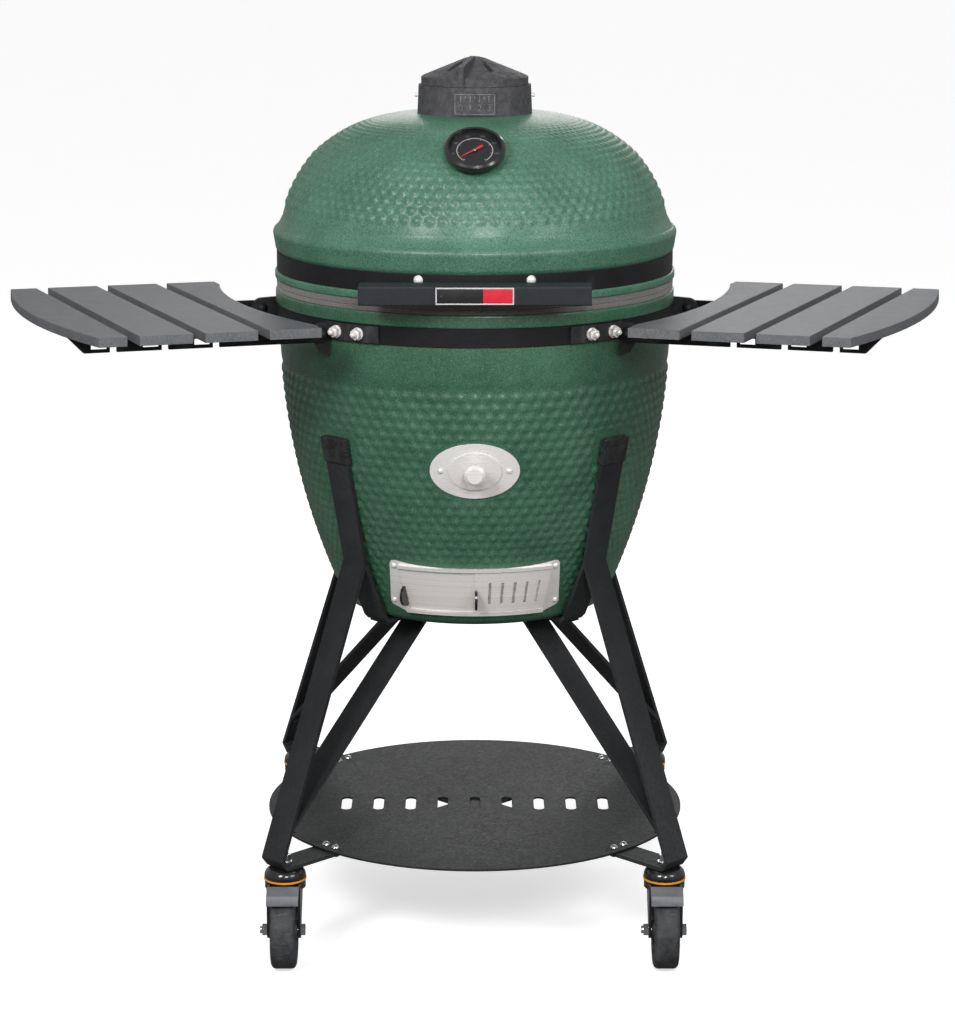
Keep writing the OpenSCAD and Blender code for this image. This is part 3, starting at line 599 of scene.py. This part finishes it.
def shell(name, before, line, after, count, fade, clear):
    """A lathed shell: plain points before and after a line that carries staggered round bumps.

    before and after hold (r, z, material index); fade(s) scales the bumps along the line, and
    clear(x, y, z) is 0 where fittings lie on the glaze."""
    rows, lengths = bump_rows(line, count)
    points, marks = resampled(line, rows, lengths)
    total = float(lengths[-1])
    columns = count * COLUMNS_PER_BUMP
    theta = np.arange(columns) * math.tau / columns
    rings, materials = [], []
    for r, z, index in before:
        rings.append((np.full(columns, r), np.full(columns, z)))
        materials.append(index)
    for i, ((r, z), s) in enumerate(zip(points, marks, strict=False)):
        a, b = points[max(i - 1, 0)], points[min(i + 1, len(points) - 1)]
        tangent = np.array([b[0] - a[0], b[1] - a[1]])
        normal = np.array([tangent[1], -tangent[0]]) / np.hypot(*tangent)
        height = np.zeros(columns)
        for k, (row_s, pitch) in enumerate(rows):
            reach = pitch * BUMP_RADIUS_SHARE
            if abs(s - row_s) >= reach:
                continue
            step = math.tau / count
            offset = (k % 2) * step / 2
            across = ((theta - offset + step / 2) % step - step / 2) * r
            d2 = (across**2 + (s - row_s) ** 2) / reach**2
            bump = np.clip(1 - d2, 0, 1) ** 2 * pitch * BUMP_HEIGHT_SHARE
            height = np.maximum(height, bump * fade(row_s / total))
        keep = clear(r * np.cos(theta), r * np.sin(theta), np.full(columns, z))
        height = height * keep
        rings.append((r + normal[0] * height, z + normal[1] * height))
        materials.append(0)
    for r, z, index in after:
        rings.append((np.full(columns, r), np.full(columns, z)))
        materials.append(index)
    verts = np.concatenate(
        [np.stack([r * np.cos(theta), r * np.sin(theta), z], 1) for r, z in rings]
    ) * MM
    faces, indices = [], []
    for i in range(len(rings) - 1):
        for k in range(columns):
            m = (k + 1) % columns
            faces.append((i * columns + k, i * columns + m, (i + 1) * columns + m, (i + 1) * columns + k))
            indices.append(materials[i + 1])
    mesh = mesh_from(name, verts, faces)
    mesh.polygons.foreach_set("material_index", indices)
    return mesh


def close_caps(mesh, material_index):
    """Fills the open holes of a lathed mesh and makes its normals face out."""
    bm = bmesh.new()
    bm.from_mesh(mesh)
    open_edges = [e for e in bm.edges if e.is_boundary]
    made = bmesh.ops.holes_fill(bm, edges=open_edges, sides=0)
    for f in made["faces"]:
        f.material_index = material_index
    bmesh.ops.recalc_face_normals(bm, faces=bm.faces)
    bm.to_mesh(mesh)
    bm.free()


def cut(piece, cutter_mesh, name):
    """Cuts a solid out of a piece and keeps the result as its mesh."""
    cutter = bpy.data.objects.new(name, cutter_mesh)
    bpy.context.scene.collection.objects.link(cutter)
    cutter_mesh.materials.append(CLAY_INSIDE)
    modifier = piece.modifiers.new(name, "BOOLEAN")
    modifier.operation, modifier.object, modifier.solver = "DIFFERENCE", cutter, "EXACT"
    bpy.context.view_layer.update()
    result = bpy.data.meshes.new_from_object(piece.evaluated_get(bpy.context.evaluated_depsgraph_get()))
    piece.modifiers.clear()
    piece.data = result
    bpy.data.objects.remove(cutter)


def prism(name, outline, from_point, to_point, x_axis):
    """A straight prism with a 2D outline in metres, from one point to another."""
    start, end = Vector(from_point), Vector(to_point)
    matrix = placed(start, x_axis, end - start)
    depth = (end - start).length
    verts = [matrix @ Vector((x, y, z)) for z in (0.0, depth) for x, y in outline]
    n = len(outline)
    faces = [tuple(reversed(range(n))), tuple(range(n, 2 * n))]
    faces += [(k, (k + 1) % n, n + (k + 1) % n, n + k) for k in range(n)]
    return mesh_from(name, verts, faces, smooth=False)


def oval(half_w, half_h, sides):
    """An ellipse in metres with its half sizes given in millimetres."""
    turns = [math.tau * k / sides for k in range(sides)]
    return [(half_w * MM * math.cos(a), half_h * MM * math.sin(a)) for a in turns]


def tagged(points, index):
    return [(r, z, index) for r, z in points]


def smooth_step(value, low, high):
    t = np.clip((value - low) / (high - low), 0, 1)
    return t * t * (3 - 2 * t)


PORT_Z, PORT_HALF = 647.0, (57.0, 36.5)
DRAFT_TOP_Z, DRAFT_HALF_W = 518.0, 112.0


def base_clear(x, y, z):
    """0 under the draft frame, the port plate and the caps of the legs, and 1 elsewhere."""
    azimuth = np.degrees(np.arctan2(x, -y))
    flap_top = DRAFT_TOP_Z - 5 + 5 * smooth_step(np.abs(x), 40.0, 108.0)
    draft = np.maximum(np.abs(x) - DRAFT_HALF_W, z - flap_top)
    keep = np.where(y < 0, smooth_step(draft, 0.0, 4.0), 1.0)
    port = np.hypot(x / (PORT_HALF[0] + 2), (z - PORT_Z) / (PORT_HALF[1] + 2))
    keep = keep * np.where(y < 0, smooth_step(port, 1.0, 1.08), 1.0)
    diagonal = np.abs((azimuth % 90) - 45)
    under_legs = (diagonal < 7) & (z > 640) & (z < 690)
    return np.where(under_legs, 0.0, keep)


def build_base():
    corner = arc((163, BASE_Z + 18.5), 18.5, -90, -22, 8)
    belly_from = angle_at(BELLY_C, BELLY_R, BASE_Z + 20)
    belly = arc(BELLY_C, BELLY_R, belly_from, angle_at(BELLY_C, BELLY_R, BELLY_TOP_Z), 80)
    outer_lip = [
        belly[-1],
        (257.2, 759.4),
        (259.8, 806.5),
        (259, 806.9),
        (259, 830.3),
        (263.2, 831.2),
        (263.2, 848),
        (INNER_R, 848),
    ]
    lip = rounded(outer_lip, 3.0)
    inner = rounded([(INNER_R, 848), (INNER_R - 3, 779.4), (232.8, 751)], 3.0)
    floor_z = BASE_Z + WALL + 0.5
    inside_r = BELLY_R - WALL
    top_angle = angle_at(BELLY_C, inside_r, BELLY_TOP_Z)
    hollow = arc(BELLY_C, inside_r, top_angle, angle_at(BELLY_C, inside_r, floor_z + 14), 12)
    bottom = [(hollow[-1][0] - 4, floor_z + 5), (hollow[-1][0] - 14, floor_z), (1.5, floor_z)]
    mesh = shell(
        "base_glazed",
        tagged([(1.5, BASE_Z), (120, BASE_Z)], 1) + tagged(corner, 0),
        belly,
        tagged(lip[1:], 0) + tagged(inner[1:] + hollow[1:] + bottom, 1),
        BASE_BUMPS,
        lambda t: float(smooth_step(t, 0.0, 0.05) * (1 - smooth_step(t, 0.965, 0.99))),
        base_clear,
    )
    close_caps(mesh, 1)
    piece = add_piece("base_glazed", mesh, "stand", None, [finish_of("glazed_green"), CLAY_INSIDE])
    half, low = OPENING_HALF_W * MM, (floor_z + 5) * MM
    high = low + OPENING_H * MM
    opening = [(-half, low), (half, low), (half, high), (-half, high)]
    across = (1, 0, 0)
    cut(piece, prism("draft_cut", opening, (0, -0.10, 0), (0, -0.26, 0), across), "draft_cut")
    port = prism("port_cut", oval(*PORT_HOLE, 48), (0, -0.19, PORT_Z * MM), (0, -0.28, PORT_Z * MM), across)
    cut(piece, port, "port_cut")
    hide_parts("base_shell")


THERM_TILT = math.radians(53.3)
THERM_AXIS = Vector((0, -math.cos(THERM_TILT), math.sin(THERM_TILT)))
THERM_POINT = Vector((0, -CROWN_C[0], CROWN_C[1])) + THERM_AXIS * CROWN_R
THERM_CLEAR_R = 33.0
DIAL_LIFT, NEEDLE_LIFT, HUB_LIFT = 9.05, 10.45, 11.25
NEEDLE_REST = math.radians(217)


def dome_clear(x, y, z):
    """0 under the thermometer's case, and 1 elsewhere."""
    p = np.stack([x - THERM_POINT.x, y - THERM_POINT.y, z - THERM_POINT.z])
    along = p[1] * THERM_AXIS.y + p[2] * THERM_AXIS.z
    distance = np.sqrt(np.maximum((p**2).sum(0) - along**2, 0))
    return np.where(y < 0, smooth_step(distance, THERM_CLEAR_R, THERM_CLEAR_R + 10), 1.0)


def build_dome():
    top_z = CROWN_C[1] + CROWN_R
    collar = arc((256.6, 922), 9, -15, 70, 8)
    outer_lip = [
        (INNER_R, DOME_LIP_Z),
        (263.8, DOME_LIP_Z),
        (263.8, 872.8),
        (259, 873.4),
        (259, 897.6),
        (260, 898.5),
        (262.5, 902),
        collar[0],
    ]
    lip = rounded(outer_lip, 2.0)
    shoulder_from = angle_at(SHOULDER_C, SHOULDER_R, COLLAR_TOP_Z)
    shoulder_to = angle_at(SHOULDER_C, SHOULDER_R, CROWN_JOIN_Z)
    crown_from = angle_at(CROWN_C, CROWN_R, CROWN_JOIN_Z)
    shoulder = arc(SHOULDER_C, SHOULDER_R, shoulder_from, shoulder_to, 40)
    crown = arc(CROWN_C, CROWN_R, crown_from + 2, 90, 60)
    chimney = [(79, top_z), (70, top_z), (CHIMNEY_R, top_z), (CHIMNEY_R, top_z - WALL), (74, top_z - WALL)]
    inner = arc(CROWN_C, CROWN_R - WALL, 90, crown_from, 10)
    inner += arc(SHOULDER_C, SHOULDER_R - WALL, shoulder_to - 3, 0, 10)
    mesh = shell(
        "dome_glazed",
        tagged([(INNER_R, DOME_LIP_Z)], 1) + tagged(lip[1:] + collar, 0),
        shoulder + crown[1:],
        tagged(chimney[:2], 0) + tagged(chimney[2:] + inner[1:] + [(INNER_R, DOME_LIP_Z)], 1),
        DOME_BUMPS,
        lambda t: float(smooth_step(t, 0.03, 0.10) * (1 - smooth_step(t, 0.60, 0.86))),
        dome_clear,
    )
    bm = bmesh.new()
    bm.from_mesh(mesh)
    bmesh.ops.remove_doubles(bm, verts=bm.verts, dist=0.000005)
    bmesh.ops.recalc_face_normals(bm, faces=bm.faces)
    bm.to_mesh(mesh)
    bm.free()
    # The dome's glaze carries painted light: it is mixed lighter and greyer than the base's.
    piece = add_piece("dome_glazed", mesh, "lid", None, [finish_of("glazed_green_dome"), CLAY_INSIDE])
    point = THERM_POINT * MM
    hole = oval(PROBE_HOLE_R, PROBE_HOLE_R, 32)
    probe = prism("probe_cut", hole, point - THERM_AXIS * 0.05, point + THERM_AXIS * 0.02, (1, 0, 0))
    cut(piece, probe, "probe_cut")
    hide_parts("dome_shell")


# ------------------------------------------------------------------ details


def build_dial():
    """White scale arc, ticks and generic numbers printed on the thermometer's dial."""
    origin = (THERM_POINT + THERM_AXIS * DIAL_LIFT) * MM
    base = placed(origin, (1, 0, 0), THERM_AXIS)
    sweep_from, sweep_to, steps = math.radians(-52), math.radians(232), 60
    ring_r, ring_w, thick, number_r = 22.5 * MM, 0.35 * MM, 0.12 * MM, 27.6 * MM
    verts, faces = [], []
    for i in range(steps + 1):
        a = sweep_from + (sweep_to - sweep_from) * i / steps
        for r in (ring_r - ring_w, ring_r + ring_w):
            for z in (0, thick):
                verts.append(base @ Vector((r * math.cos(a), r * math.sin(a), z)))
    for i in range(steps):
        p, q = i * 4, (i + 1) * 4
        faces += [(p + 1, p + 3, q + 3, q + 1), (p, p + 1, q + 1, q)]
        faces += [(p + 3, p + 2, q + 2, q + 3), (p + 2, p, q, q + 2)]
    last = steps * 4
    faces += [(0, 2, 3, 1), (last, last + 1, last + 3, last + 2)]
    parts, matrices = [mesh_from("arc", verts, faces, smooth=False)], [Matrix.Identity(4)]
    numbers, spots = [], []
    ticks, per_number, step_value = 28, 4, 50
    for i in range(ticks + 1):
        a = sweep_from + (sweep_to - sweep_from) * i / ticks
        numbered = i % per_number == 0
        long, width = (2.6 * MM, 0.28 * MM) if numbered else (1.4 * MM, 0.16 * MM)
        parts.append(block("tick", (ring_r - long, -width, 0), (ring_r, width, thick), 0.02 * MM))
        matrices.append(base @ Matrix.Rotation(a, 4, "Z"))
        if numbered:
            number = str(step_value * ((ticks - i) // per_number))
            spot = Vector((number_r * math.cos(a), number_r * math.sin(a), thick / 2))
            numbers.append(lettering("number", number, 4.2 * MM, thick))
            spots.append(base @ Matrix.Translation(spot))
    add_piece("dial_print", merged("dial_print", parts, matrices), "lid", None, [WHITE_PRINT])
    add_piece("dial_numbers", merged("dial_numbers", numbers, spots), "lid", None, [FAINT_PRINT])
    hub = domed_head("needle_hub", 2.4 * MM, 1.0 * MM)
    hub.transform(placed((THERM_POINT + THERM_AXIS * HUB_LIFT) * MM, (1, 0, 0), THERM_AXIS))
    add_piece("needle_hub", hub, "needle", "zinc")


def build_needle():
    """A tapered pointer with a broad counterweight tail, in place of the flat CAD blade."""
    base = placed((THERM_POINT + THERM_AXIS * NEEDLE_LIFT) * MM, (1, 0, 0), THERM_AXIS)
    base = base @ Matrix.Rotation(NEEDLE_REST, 4, "Z")
    outline = [(24.5, 0.0), (3, 1.15), (-11, 1.9), (-12.4, 1.2), (-12.4, -1.2), (-11, -1.9), (3, -1.15)]
    verts = [base @ Vector((x * MM, y * MM, z * MM)) for z in (0.0, 0.7) for x, y in outline]
    n = len(outline)
    faces = [tuple(reversed(range(n))), tuple(range(n, 2 * n))]
    faces += [(k, (k + 1) % n, n + (k + 1) % n, n + k) for k in range(n)]
    mesh = mesh_from("needle_pointer", verts, faces, smooth=False)
    piece = add_piece("needle_pointer", mesh, "needle", "needle_red")
    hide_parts("thermometer_needle")


def build_handle_plate():
    """Two blank colour fields and two small screws in the plate's silver frame."""
    low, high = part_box("name_plate")
    rim, back = 1.7 * MM, low.y + 0.62 * MM
    left, right = low.x + rim, high.x - rim
    black_share = 0.61
    split = left + (right - left) * black_share
    for name, x0, x1, material in (
        ("plate_field_black", left, split, BLACK_FIELD),
        ("plate_field_red", split, right, RED_FIELD),
    ):
        mesh = block(name, (x0, low.y + 0.18 * MM, low.z + rim), (x1, back, high.z - rim), 0.06 * MM)
        add_piece(name, mesh, "lid", None, [material])
    heads, matrices = [], []
    for x in (left + 5.2 * MM, right - 5.2 * MM):
        heads.append(domed_head("plate_screw", 2.1 * MM, 0.9 * MM, 0.7 * MM))
        matrices.append(placed((x, low.y + 0.95 * MM, (low.z + high.z) / 2), (1, 0, 0), (0, -1, 0)))
    add_piece("plate_screws", merged("plate_screws", heads, matrices), "lid", "zinc")


def build_vent_scale():
    """Raised frame, ticks and the digits 0 to 3 cast on the chimney vent's front panel."""
    face_r, half, bottom, top, rim = 76.6, 26.0, 1079.0, 1105.5, 1.4
    relief, digit_z, pitch = 0.9, 1087.4, 12.0
    bars, matrices = [], []

    def bar(x0, x1, z0, z1):
        """A raised bar that follows the round face of the panel, in pieces short enough to bend with it."""
        pieces = max(1, round((x1 - x0) / 5))
        for i in range(pieces):
            a, b = x0 + (x1 - x0) * i / pieces, x0 + (x1 - x0) * (i + 1) / pieces
            turn = math.asin((a + b) / 2 / face_r)
            wide = (b - a) / 2 / math.cos(turn) + 0.05
            low = (-wide * MM, -(face_r + relief) * MM, z0 * MM)
            bars.append(block("bar", low, (wide * MM, -(face_r - 1.5) * MM, z1 * MM), 0.25 * MM))
            matrices.append(Matrix.Rotation(turn, 4, "Z"))

    bar(-half, half, top - rim, top)
    bar(-half, half, bottom, bottom + rim)
    bar(-half, -half + rim, bottom, top)
    bar(half - rim, half, bottom, top)
    for i in range(7):
        x = (i / 2 - 1.5) * pitch
        bar(x - 0.8, x + 0.8, top - (11.0 if i % 2 == 0 else 6.5), top - 2.6)
    for i in range(4):
        turn = math.asin((i - 1.5) * pitch / face_r)
        bars.append(lettering("digit", str(i), 12.5 * MM, 2 * relief * MM))
        face = placed((0, -face_r * MM, digit_z * MM), (1, 0, 0), (0, -1, 0))
        matrices.append(Matrix.Rotation(turn, 4, "Z") @ face)
    # The raised scale takes the lighter iron: a painted highlight on the relief.
    add_piece("vent_scale", merged("vent_scale", bars, matrices), "lid", None, [RELIEF_HIGHLIGHT_IRON])


def on_belly(azimuth, out, z):
    """A point at this azimuth from the front, height z, and distance out from the glaze."""
    r = BELLY_C[0] + math.sqrt((BELLY_R + out) ** 2 - (z - BELLY_C[1]) ** 2)
    a = math.radians(azimuth)
    return Vector((r * math.sin(a), -r * math.cos(a), z)) * MM


def build_draft_details():
    """A woven wire screen behind the slots, and a dark round ear over each slide's finger tab."""
    wire_r, mesh_out, low, high, left, right = 0.24, 3.55, 460.0, 494.0, 4.6, 25.4
    wires = []
    rows, columns, bends = 20, 48, 26
    for i in range(rows + 1):
        z = low + (high - low) * i / rows
        path = [on_belly(left + (right - left) * k / bends, mesh_out, z) for k in range(bends + 1)]
        wires.append(tube("wire", path, wire_r * MM, 5))
    for i in range(columns + 1):
        azimuth = left + (right - left) * i / columns
        path = [on_belly(azimuth, mesh_out, low + (high - low) * k / 4) for k in range(5)]
        wires.append(tube("wire", path, wire_r * MM, 5))
    add_piece("screen_mesh", merged("screen_mesh", wires), "screen_slide", "stainless")
    ear_r, ear_t, ear_z, ear_steps = 14.2, 3.4, 469.0, 18
    ears = (("door_ear", "draft_slide", -27.1, 3.3), ("screen_ear", "screen_slide", 0.5, 5.1))
    for name, body, azimuth, out in ears:
        foot = on_belly(azimuth, out, ear_z)
        a, lean = math.radians(azimuth), math.radians(angle_at(BELLY_C, BELLY_R, ear_z))
        along = Vector((math.cos(a), math.sin(a), 0))
        outward = Vector((math.sin(a) * math.cos(lean), -math.cos(a) * math.cos(lean), math.sin(lean)))
        turns = [math.pi * k / ear_steps for k in range(ear_steps + 1)]
        outline = [(ear_r * math.sin(t) * MM, -ear_r * math.cos(t) * MM) for t in turns]
        mesh = prism(name, outline, foot - along * ear_t / 2 * MM, foot + along * ear_t / 2 * MM, outward)
        add_piece(name, mesh, body, "gloss_black")


def build_springs():
    """Two closed-wound torsion springs round the hinge pin, with legs down to the bracket."""
    pin_y, pin_z, coil_r, wire_r = 304.0, RIM_Z, 8.2, 2.0
    turns, pitch, start_x, per_turn = 7, 4.0, 8.0, 28
    leg, lean = 33.0, math.radians(33)
    meshes = []
    for side in (-1, 1):
        foot = Vector((side * start_x, pin_y - coil_r - leg * math.sin(lean), pin_z - leg * math.cos(lean)))
        path = [foot.lerp(Vector((side * start_x, pin_y - coil_r, pin_z)), t) for t in (0, 0.35, 0.7)]
        for i in range((turns - 1) * per_turn + 1):
            a = math.pi - math.tau * i / per_turn
            x = side * (start_x + pitch * i / per_turn)
            path.append(Vector((x, pin_y + coil_r * math.cos(a), pin_z + coil_r * math.sin(a))))
        meshes.append(tube("spring", [p * MM for p in path], wire_r * MM, 12))
    piece = add_piece("spring_coils", merged("spring_coils", meshes), "stand", "spring_steel")
    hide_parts("hinge_springs")


def build_cooking_grate():
    """Round stainless rods welded under an outer hoop, in place of the square CAD bars."""
    low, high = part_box("cooking_grate")
    rod_r, hoop_rod, hoop_sides = 2.0, 3.0, 120
    rods_a_side, rod_pitch, cross_y = 12, 17.4, 60.0
    hoop_r, top = high.x / MM - hoop_rod, high.z / MM
    turns = [math.tau * i / hoop_sides for i in range(hoop_sides)]
    hoop = [(hoop_r * math.cos(a), hoop_r * math.sin(a), top - hoop_rod) for a in turns]
    meshes = [tube("hoop", [Vector(p) * MM for p in hoop], hoop_rod * MM, 12, closed=True)]
    for i in range(-rods_a_side, rods_a_side + 1):
        x = i * rod_pitch
        reach = math.sqrt(hoop_r**2 - x * x) - 1.0
        path = [Vector((x, y, top - rod_r)) * MM for y in (-reach, 0, reach)]
        meshes.append(tube("rod", path, rod_r * MM, 10))
    for y in (-cross_y, cross_y):
        reach = math.sqrt(hoop_r**2 - y * y) - 1.0
        path = [Vector((x, y, top - 2 * rod_r)) * MM for x in (-reach, 0, reach)]
        meshes.append(tube("cross", path, rod_r * MM, 10))
    piece = add_piece("grate_rods", merged("grate_rods", meshes), "grill_grate", "stainless")
    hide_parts("cooking_grate")


LEG_NODES = {45: "leg_rear_right", 135: "leg_rear_left", 225: "leg_front_left", 315: "leg_front_right"}
WELDS = (((219.5, 509.5), (-1.6, -4.0)), ((178, 425), (-3.2, -4.6)))
FRONT_FOOT_WELDS = (((352.4, 177), (-6.0, -2.5)), ((368, 134), (-4.6, 2.6)))
REAR_FOOT_WELDS = (((359.6, 177), (-6.0, -2.5)), ((376, 134), (-4.6, 2.6)))
BAR_HALF = 20.0


def build_welds():
    """A wavy weld bead across the flat steel at each joint of a leg."""
    draw = random.Random(7)
    inset, steps, bead_r = 1.5, 24, 1.5
    meshes, matrices = [], []
    for azimuth in LEG_NODES:
        turn = Matrix.Rotation(math.radians(azimuth), 4, "Z")
        for (r, z), (dr, dz) in WELDS + (FRONT_FOOT_WELDS if azimuth > 180 else REAR_FOOT_WELDS):
            path = []
            for i in range(steps + 1):
                y = -BAR_HALF + inset + 2 * (BAR_HALF - inset) * i / steps
                wave = 0.35 * math.sin(i * 2.1) + draw.uniform(-0.12, 0.12)
                path.append(Vector((r + dr + wave, y, z + dz + wave * 0.5)) * MM)
            meshes.append(tube("weld", path, bead_r * MM, 8))
            matrices.append(turn)
    add_piece("weld_beads", merged("weld_beads", meshes, matrices), "stand", "textured_black")


build_base()
build_dome()
build_dial()
build_needle()
build_handle_plate()
build_vent_scale()
build_draft_details()
build_springs()
build_cooking_grate()
build_welds()


# ------------------------------------------------------------------ floor, light and camera


def build_floor():
    """A wide pale disc, which isn't part of the object and throws no light back up at it."""
    f = Finish("studio_floor", Roughness=0.85, Specular_IOR_Level=0.1)
    f.shader.inputs["Emission Color"].default_value = rgb(1.0, 1.0, 1.0)
    f.shader.inputs["Emission Strength"].default_value = 0.60
    f.colour(f.mixed(f.noise(3, 2), rgb(0.86, 0.86, 0.86), rgb(0.90, 0.90, 0.90)))
    bm = bmesh.new()
    bmesh.ops.create_circle(bm, cap_ends=True, radius=90.0, segments=96)
    mesh = bpy.data.meshes.new("studio_floor")
    bm.to_mesh(mesh)
    bm.free()
    mesh.materials.append(f.material)
    floor = bpy.data.objects.new("studio_floor", mesh)
    bpy.context.scene.collection.objects.link(floor)
    floor.visible_diffuse = False
    floor.visible_glossy = False


def area_light(name, place, target, size, power):
    """A round soft lamp aimed at a point."""
    lamp = bpy.data.lights.new(name, "AREA")
    lamp.shape, lamp.size, lamp.energy = "DISK", size, power
    holder = bpy.data.objects.new(name, lamp)
    bpy.context.scene.collection.objects.link(holder)
    holder.location = place
    holder.rotation_euler = (Vector(target) - Vector(place)).to_track_quat("-Z", "Y").to_euler()


def build_light():
    """A sky that is dim below, with four large soft lamps."""
    world = bpy.data.worlds.new("studio")
    bpy.context.scene.world = world
    world.use_nodes = True
    nodes, links = world.node_tree.nodes, world.node_tree.links
    coords = nodes.new("ShaderNodeTexCoord")
    parts = nodes.new("ShaderNodeSeparateXYZ")
    ramp = nodes.new("ShaderNodeValToRGB")
    links.new(coords.outputs["Generated"], parts.inputs["Vector"])
    ranged = nodes.new("ShaderNodeMapRange")
    ranged.inputs["From Min"].default_value, ranged.inputs["From Max"].default_value = -1.0, 1.0
    links.new(parts.outputs["Z"], ranged.inputs["Value"])
    links.new(ranged.outputs["Result"], ramp.inputs["Fac"])
    stops = ramp.color_ramp.elements
    stops[0].position, stops[0].color = 0.40, rgb(0.16, 0.16, 0.16)
    stops[1].position, stops[1].color = 0.85, rgb(0.40, 0.40, 0.40)
    middle = stops.new(0.52)
    middle.color = rgb(0.42, 0.42, 0.42)
    links.new(ramp.outputs["Color"], nodes["Background"].inputs["Color"])
    target = (0, 0, 0.75)
    area_light("key", (-1.7, -2.9, 2.7), target, 1.1, 70)
    area_light("front", (0.4, -3.4, 2.2), (0, 0, 0.6), 0.9, 46)
    area_light("fill", (2.4, -2.4, 2.6), target, 1.4, 34)
    area_light("back", (0.3, 3.0, 1.9), target, 2.0, 20)


CAMERA_DISTANCE, CAMERA_HEIGHT, CAMERA_PITCH = 3.831064, 1.3969, 0.22
SENSOR_MM, LENS_MM, SHIFT_X = 36.0, 102.332, 0.00264


def build_camera():
    """The camera that was fitted to the outline in the photo."""
    data = bpy.data.cameras.new("camera")
    data.sensor_width, data.lens, data.shift_x = SENSOR_MM, LENS_MM, SHIFT_X
    data.clip_start, data.clip_end = 0.05, 200
    camera = bpy.data.objects.new("camera", data)
    bpy.context.scene.collection.objects.link(camera)
    camera.location = (0, -CAMERA_DISTANCE, CAMERA_HEIGHT)
    camera.rotation_euler = (math.pi / 2 - CAMERA_PITCH, 0, 0)
    bpy.context.scene.camera = camera


build_floor()
build_light()
build_camera()
bpy.context.scene.view_settings.view_transform = "Standard"

bpy.context.view_layer.update()
